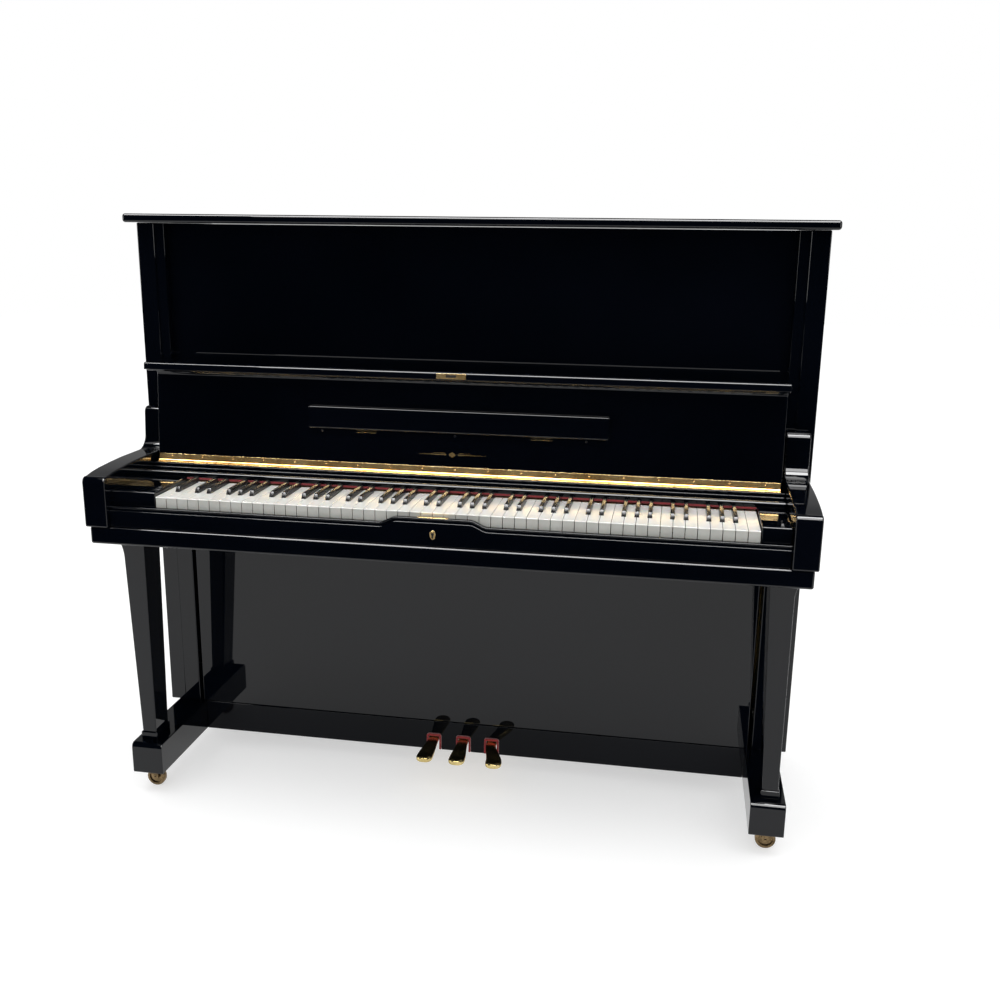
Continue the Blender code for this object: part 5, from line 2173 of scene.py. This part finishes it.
@dataclass
class BackWork:
    """The back frame, soundboard, plate, strings and tuning pins."""

    posts: int = 5
    post_width: float = 0.070
    beam: float = 0.110
    notes: int = 88

    def timbers(self) -> None:
        """Build the back frame and the soundboard."""
        low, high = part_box("back_frame")
        boxes = [
            ((low.x, low.y, high.z - self.beam), high), (low, (high.x, high.y, low.z + self.beam))
        ]
        seat(slabs("back_beams", boxes, 0.003), CASE, "wood", SPRUCE_LONG, "back_frame")
        pitch = (high.x - low.x - self.post_width) / (self.posts - 1)
        length = high.z - low.z - 2 * self.beam
        post = slab("post", (0, 0, 0), (self.post_width, high.y - low.y - 0.001, length), 0.004, 3)
        start = (low.x, low.y + 0.0005, low.z + self.beam)
        made = row("back_posts", post, self.posts, start, (pitch, 0, 0), SPRUCE)
        seat(made, CASE, "wood", None)
        low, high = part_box("soundboard")
        seat(slab("soundboard_spruce", low, high, 0.001), CASE, "wood", SPRUCE, "soundboard")

    def plate(self) -> None:
        """Build the iron plate with its bars and rims."""
        low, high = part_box("iron_plate")
        front, back = low.y, high.y
        boxes = [((low.x, back - 0.006, low.z), high)]
        boxes += [
            ((low.x + 0.002, front, high.z - 0.020), (high.x - 0.002, back - 0.005, high.z - 0.001))
        ]
        boxes += [
            ((low.x + 0.002, front, low.z + 0.001), (high.x - 0.002, back - 0.005, low.z + 0.030))
        ]
        for x in (low.x + 0.001, -0.330, 0.030, 0.360, high.x - 0.025):
            boxes.append(
                ((x, front + 0.001, low.z + 0.004), (x + 0.024, back - 0.005, high.z - 0.004))
            )
        seat(slabs("iron_plate_bronzed", boxes, 0.0022), CASE, "bronze_iron", IRON, "iron_plate")

    def strings(self) -> None:
        """String the plate: plain wire in threes, and copper-wound bass."""
        low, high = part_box("strings")
        y = (low.y + high.y) / 2
        width = high.x - low.x
        tenor = low.x + width * 0.24
        count = 60 * 3
        plain = wires(
            "plain_strings", count, ((tenor, y, low.z + 0.02), (high.x - 0.004, y, low.z + 0.50)),
            ((tenor, y, high.z), (high.x - 0.004, y, high.z - 0.02)), 0.0005, PLAIN_WIRE,
        )
        seat(plain, CASE, "steel", None, "strings")
        bass = wires(
            "wound_strings", 48,
            ((low.x + 0.004, y, low.z + 0.01), (tenor - 0.012, y, low.z + 0.01)),
            ((low.x + 0.004, y, high.z), (tenor - 0.012, y, high.z)), 0.0012, COPPER_WIRE,
        )
        seat(bass, CASE, "steel", None)
        pin = turned(
            "pin", [(0.0034, 0.0), (0.0034, 0.0030), (0.0030, 0.0034)], (0, 0, 0), Axis.Y, 10
        )
        pins = row(
            "tuning_pins", pin, 88, (low.x + 0.004, y - 0.002, high.z - 0.001), (width / 88, 0, 0),
            PLAIN_WIRE
        )
        seat(pins, CASE, "steel", None)

    def build(self) -> None:
        """Build the back work."""
        self.timbers()
        self.plate()
        self.strings()


@dataclass
class Action:
    """The action: brackets and rail, hammers, rest rail, dampers and practice rail."""

    notes: int = 88
    damped: int = 66
    pivot_z: float = 0.915
    pivot_y: float = 0.1134
    rest_rise: float = 0.085

    def build_frame(self) -> None:
        """Give the bracket frame its bronzed finish."""
        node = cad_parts["action_frame"]
        node.data.materials.clear()
        node.data.materials.append(IRON.material())

    def hammer(self, low: Vector, high: Vector) -> bpy.types.Object:
        """One hammer's felt head about its pivot: an egg-shaped felt.

        Args:
            low: not used.
            high: the hammers' upper corner.

        Returns:
            The new object.
        """
        height = high.z - self.pivot_z
        base = height - 0.024
        outline = [(-0.004, base), (-0.004, base + 0.020)]
        outline += [(0.004, height), (0.014, height - 0.001), (0.024, height - 0.005)]
        outline += arc((0.021, base + 0.011), 0.009, 60, -60, 6)
        outline += [(0.012, base + 0.001)]
        return prism("hammer_head", outline, Axis.X, (-0.0047, 0.0047), 0.0008, 2)

    def build_hammers(self) -> None:
        """Build the row of hammers with their shanks and butts."""
        low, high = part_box("hammers")
        y = self.pivot_y
        pitch = (high.x - low.x) / self.notes
        start = (low.x + pitch / 2, y, self.pivot_z)
        heads = row(
            "hammer_felts",
            self.hammer(low, high),
            self.notes,
            start,
            (pitch, 0, 0),
            WOOL,
            (0.002, 0, 0.003),
        )
        seat(heads, "hammers", "hammer_felt", None, "hammers")
        shank = turned(
            "shank",
            [(0.0024, 0.004), (0.0024, high.z - self.pivot_z - 0.022)],
            (0, 0, 0),
            Axis.Z,
            8,
        )
        shanks = row("hammer_shanks", shank, self.notes, start, (pitch, 0, 0), MAPLE)
        seat(shanks, "hammers", "wood", None)
        butt = slab("butt", (-0.0050, -0.007, -0.007), (0.0050, 0.007, 0.010), 0.0015, 2)
        butts = row("hammer_butts", butt, self.notes, start, (pitch, 0, 0), MAPLE)
        seat(butts, "hammers", "wood", None)

    def build_rails(self) -> None:
        """Build the rest rail, the dampers and the practice rail."""
        low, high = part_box("hammer_rail")
        rail_z = self.pivot_z + self.rest_rise
        boxes = [((low.x, low.y, rail_z), (high.x, high.y, rail_z + 0.020))]
        for x in (low.x + 0.006, high.x - 0.012):
            boxes.append(((x, high.y - 0.007, low.z), (x + 0.006, high.y - 0.001, rail_z + 0.002)))
        seat(
            slabs("hammer_rail_maple", boxes, 0.0015),
            "hammer_rail",
            "wood",
            MAPLE_LONG,
            "hammer_rail",
        )
        low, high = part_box("dampers")
        pitch = (high.x - low.x) / self.damped
        head = slab(
            "damper", (-0.0043, low.y, 0.034), (0.0043, high.y - 0.0002, high.z - low.z), 0.0012, 2
        )
        start = (low.x + pitch / 2, 0, low.z)
        heads = row("damper_felts", head, self.damped, start, (pitch, 0, 0), WOOL)
        seat(heads, "dampers", "hammer_felt", None, "dampers")
        arm = slab("arm", (-0.002, low.y + 0.004, 0.004), (0.002, low.y + 0.008, 0.038), 0.0006, 2)
        arms = row("damper_arms", arm, self.damped, start, (pitch, 0, 0), MAPLE)
        bar = slab(
            "damper_bar", (low.x, low.y, low.z), (high.x, high.y - 0.0025, low.z + 0.0095), 0.001
        )
        bar.data.materials.append(MAPLE.material())
        seat(merged("damper_rail", [bar, arms]), "dampers", "wood", None)
        low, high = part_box("muffler_rail")
        made = slab("muffler_rail_felt", low, high, 0.0012)
        seat(made, "muffler_rail", "red_felt", RED_FELT, "muffler_rail")

    def build(self) -> None:
        """Build the action."""
        self.build_frame()
        self.build_hammers()
        self.build_rails()


# ---------------------------------------------------------------- studio


@dataclass(frozen=True)
class SoftBox:
    """A flat lamp. One that isn't on objects is seen by mirrors only."""

    name: str
    place: Sequence[float]
    turn: Sequence[float]
    size: Span
    power: float
    on_objects: bool

    def hang(self) -> None:
        """Hang the lamp in the scene."""
        lamp = bpy.data.lights.new(self.name, "AREA")
        lamp.shape = "RECTANGLE"
        lamp.size, lamp.size_y = self.size
        lamp.energy = self.power
        made = bpy.data.objects.new(self.name, lamp)
        made.location = self.place
        made.rotation_euler = self.turn
        made.visible_diffuse = self.on_objects
        bpy.context.scene.collection.objects.link(made)


@dataclass
class Studio:
    """The pale floor, the soft light and the camera."""

    lamps = (
        SoftBox("overhead", (0.0, -1.1, 3.6), (0, 0, 0), (4.6, 1.4), 44.0, True),
        SoftBox("tubes", (0.1, -0.9, 3.5), (0, 0, 0), (4.4, 1.1), 420.0, False),
        SoftBox("front_tubes", (0.1, -3.0, 4.0), (math.pi / 4, 0, 0), (4.4, 1.6), 340.0, False),
        SoftBox("left_card", (-3.6, -1.0, 1.7), (0, -math.pi / 2, 0), (1.6, 2.6), 60.0, False),
        SoftBox("right_card", (3.9, -1.4, 1.9), (0, math.pi / 2, 0), (1.6, 2.2), 50.0, False),
    )

    eye: tuple[float, float, float] = (0.4575, -2.3033, 1.2803)
    yaw: float = 9.852
    pitch: float = -14.243
    roll: float = -0.673
    lens: float = 38.57
    shift: tuple[float, float] = (0.0115, 0.0023)
    floor: tuple[float, float, float, float] = (-9.0, -2.1, 9.0, 14.0)
    pale: float = 1.0
    haze: float = 0.30
    zenith: float = 1.15
    horizon: float = 0.85
    dusk: Colour = (0.0030, 0.0036, 0.0070)

    def lay_floor(self) -> None:
        """Lay the seamless floor."""
        x0, y0, x1, y1 = self.floor
        mesh = bmesh.new()
        corners = [mesh.verts.new((x, y, 0.0)) for x, y in ((x0, y0), (x1, y0), (x1, y1), (x0, y1))]
        mesh.faces.new(corners)
        made = object_of("studio_floor", mesh)
        made.data.materials.append(FLOOR.material())

    def light(self) -> None:
        """Set the even skylight, dark to mirrors, and the soft boxes that edges catch."""
        world = bpy.data.worlds.new("studio")
        bpy.context.scene.world = world
        world.use_nodes = True
        world.cycles.sampling_method = "NONE"
        nodes, links = world.node_tree.nodes, world.node_tree.links
        back = nodes["Background"]
        path = nodes.new("ShaderNodeLightPath")
        heading = nodes.new("ShaderNodeSeparateXYZ")
        links.new(nodes.new("ShaderNodeTexCoord").outputs["Generated"], heading.inputs[0])

        def mixed(factor: object, first: object, second: object) -> object:
            """A colour between two others, each a grey level, a colour or a socket.

            Args:
                factor: the socket that chooses between them.
                first: the one at 0.
                second: the one at 1.

            Returns:
                The colour socket.
            """
            node = nodes.new("ShaderNodeMix")
            node.data_type = "RGBA"
            links.new(factor, node.inputs["Factor"])
            for slot, value in (("A", first), ("B", second)):
                if isinstance(value, bpy.types.NodeSocket):
                    links.new(value, node.inputs[slot])
                else:
                    colour = value if isinstance(value, tuple) else (value,) * 3
                    node.inputs[slot].default_value = (*colour, 1.0)
            return node.outputs["Result"]

        behind = nodes.new("ShaderNodeMapRange")
        behind.inputs["From Min"].default_value = 0.35
        behind.inputs["From Max"].default_value = 0.75
        links.new(heading.outputs["Y"], behind.inputs["Value"])
        mirrored = mixed(behind.outputs["Result"], self.dusk, self.haze)
        dome = mixed(heading.outputs["Z"], self.horizon, self.zenith)
        seen = mixed(path.outputs["Is Glossy Ray"], self.pale, mirrored)
        links.new(mixed(path.outputs["Is Diffuse Ray"], seen, dome), back.inputs["Color"])
        back.inputs["Strength"].default_value = 1.0
        for lamp in self.lamps:
            lamp.hang()

    def aim(self) -> None:
        """Set up the camera."""
        lens = bpy.data.cameras.new("camera")
        lens.lens = self.lens
        lens.sensor_width = 36.0
        lens.shift_x, lens.shift_y = self.shift
        lens.clip_end = 100.0
        camera = bpy.data.objects.new("camera", lens)
        bpy.context.scene.collection.objects.link(camera)
        turn = (
            Matrix.Rotation(math.radians(self.yaw), 3, "Z")
            @ Matrix.Rotation(math.radians(self.pitch), 3, "X")
            @ Matrix.Rotation(math.radians(self.roll), 3, "Y")
        )
        right, ahead, up = turn.col[0], turn.col[1], turn.col[2]
        facing = Matrix((right, up, -ahead)).transposed()
        camera.matrix_world = Matrix.Translation(self.eye) @ facing.to_4x4()
        bpy.context.scene.camera = camera
        bpy.context.scene.view_settings.view_transform = "Standard"

    def build(self) -> None:
        """Set the studio."""
        self.lay_floor()
        self.light()
        self.aim()


def main() -> None:
    """Build every sub-assembly in order."""
    logging.basicConfig(level=logging.INFO, format="%(name)s: %(message)s")
    Studio().build()
    Sides().build()
    Panels().build()
    Lid().build()
    FrontWork().build()
    Keyboard().build()
    Fallboard().build()
    Pedals().build()
    Casters().build()
    BackWork().build()
    Action().build()


if __name__ == "__main__":
    main()
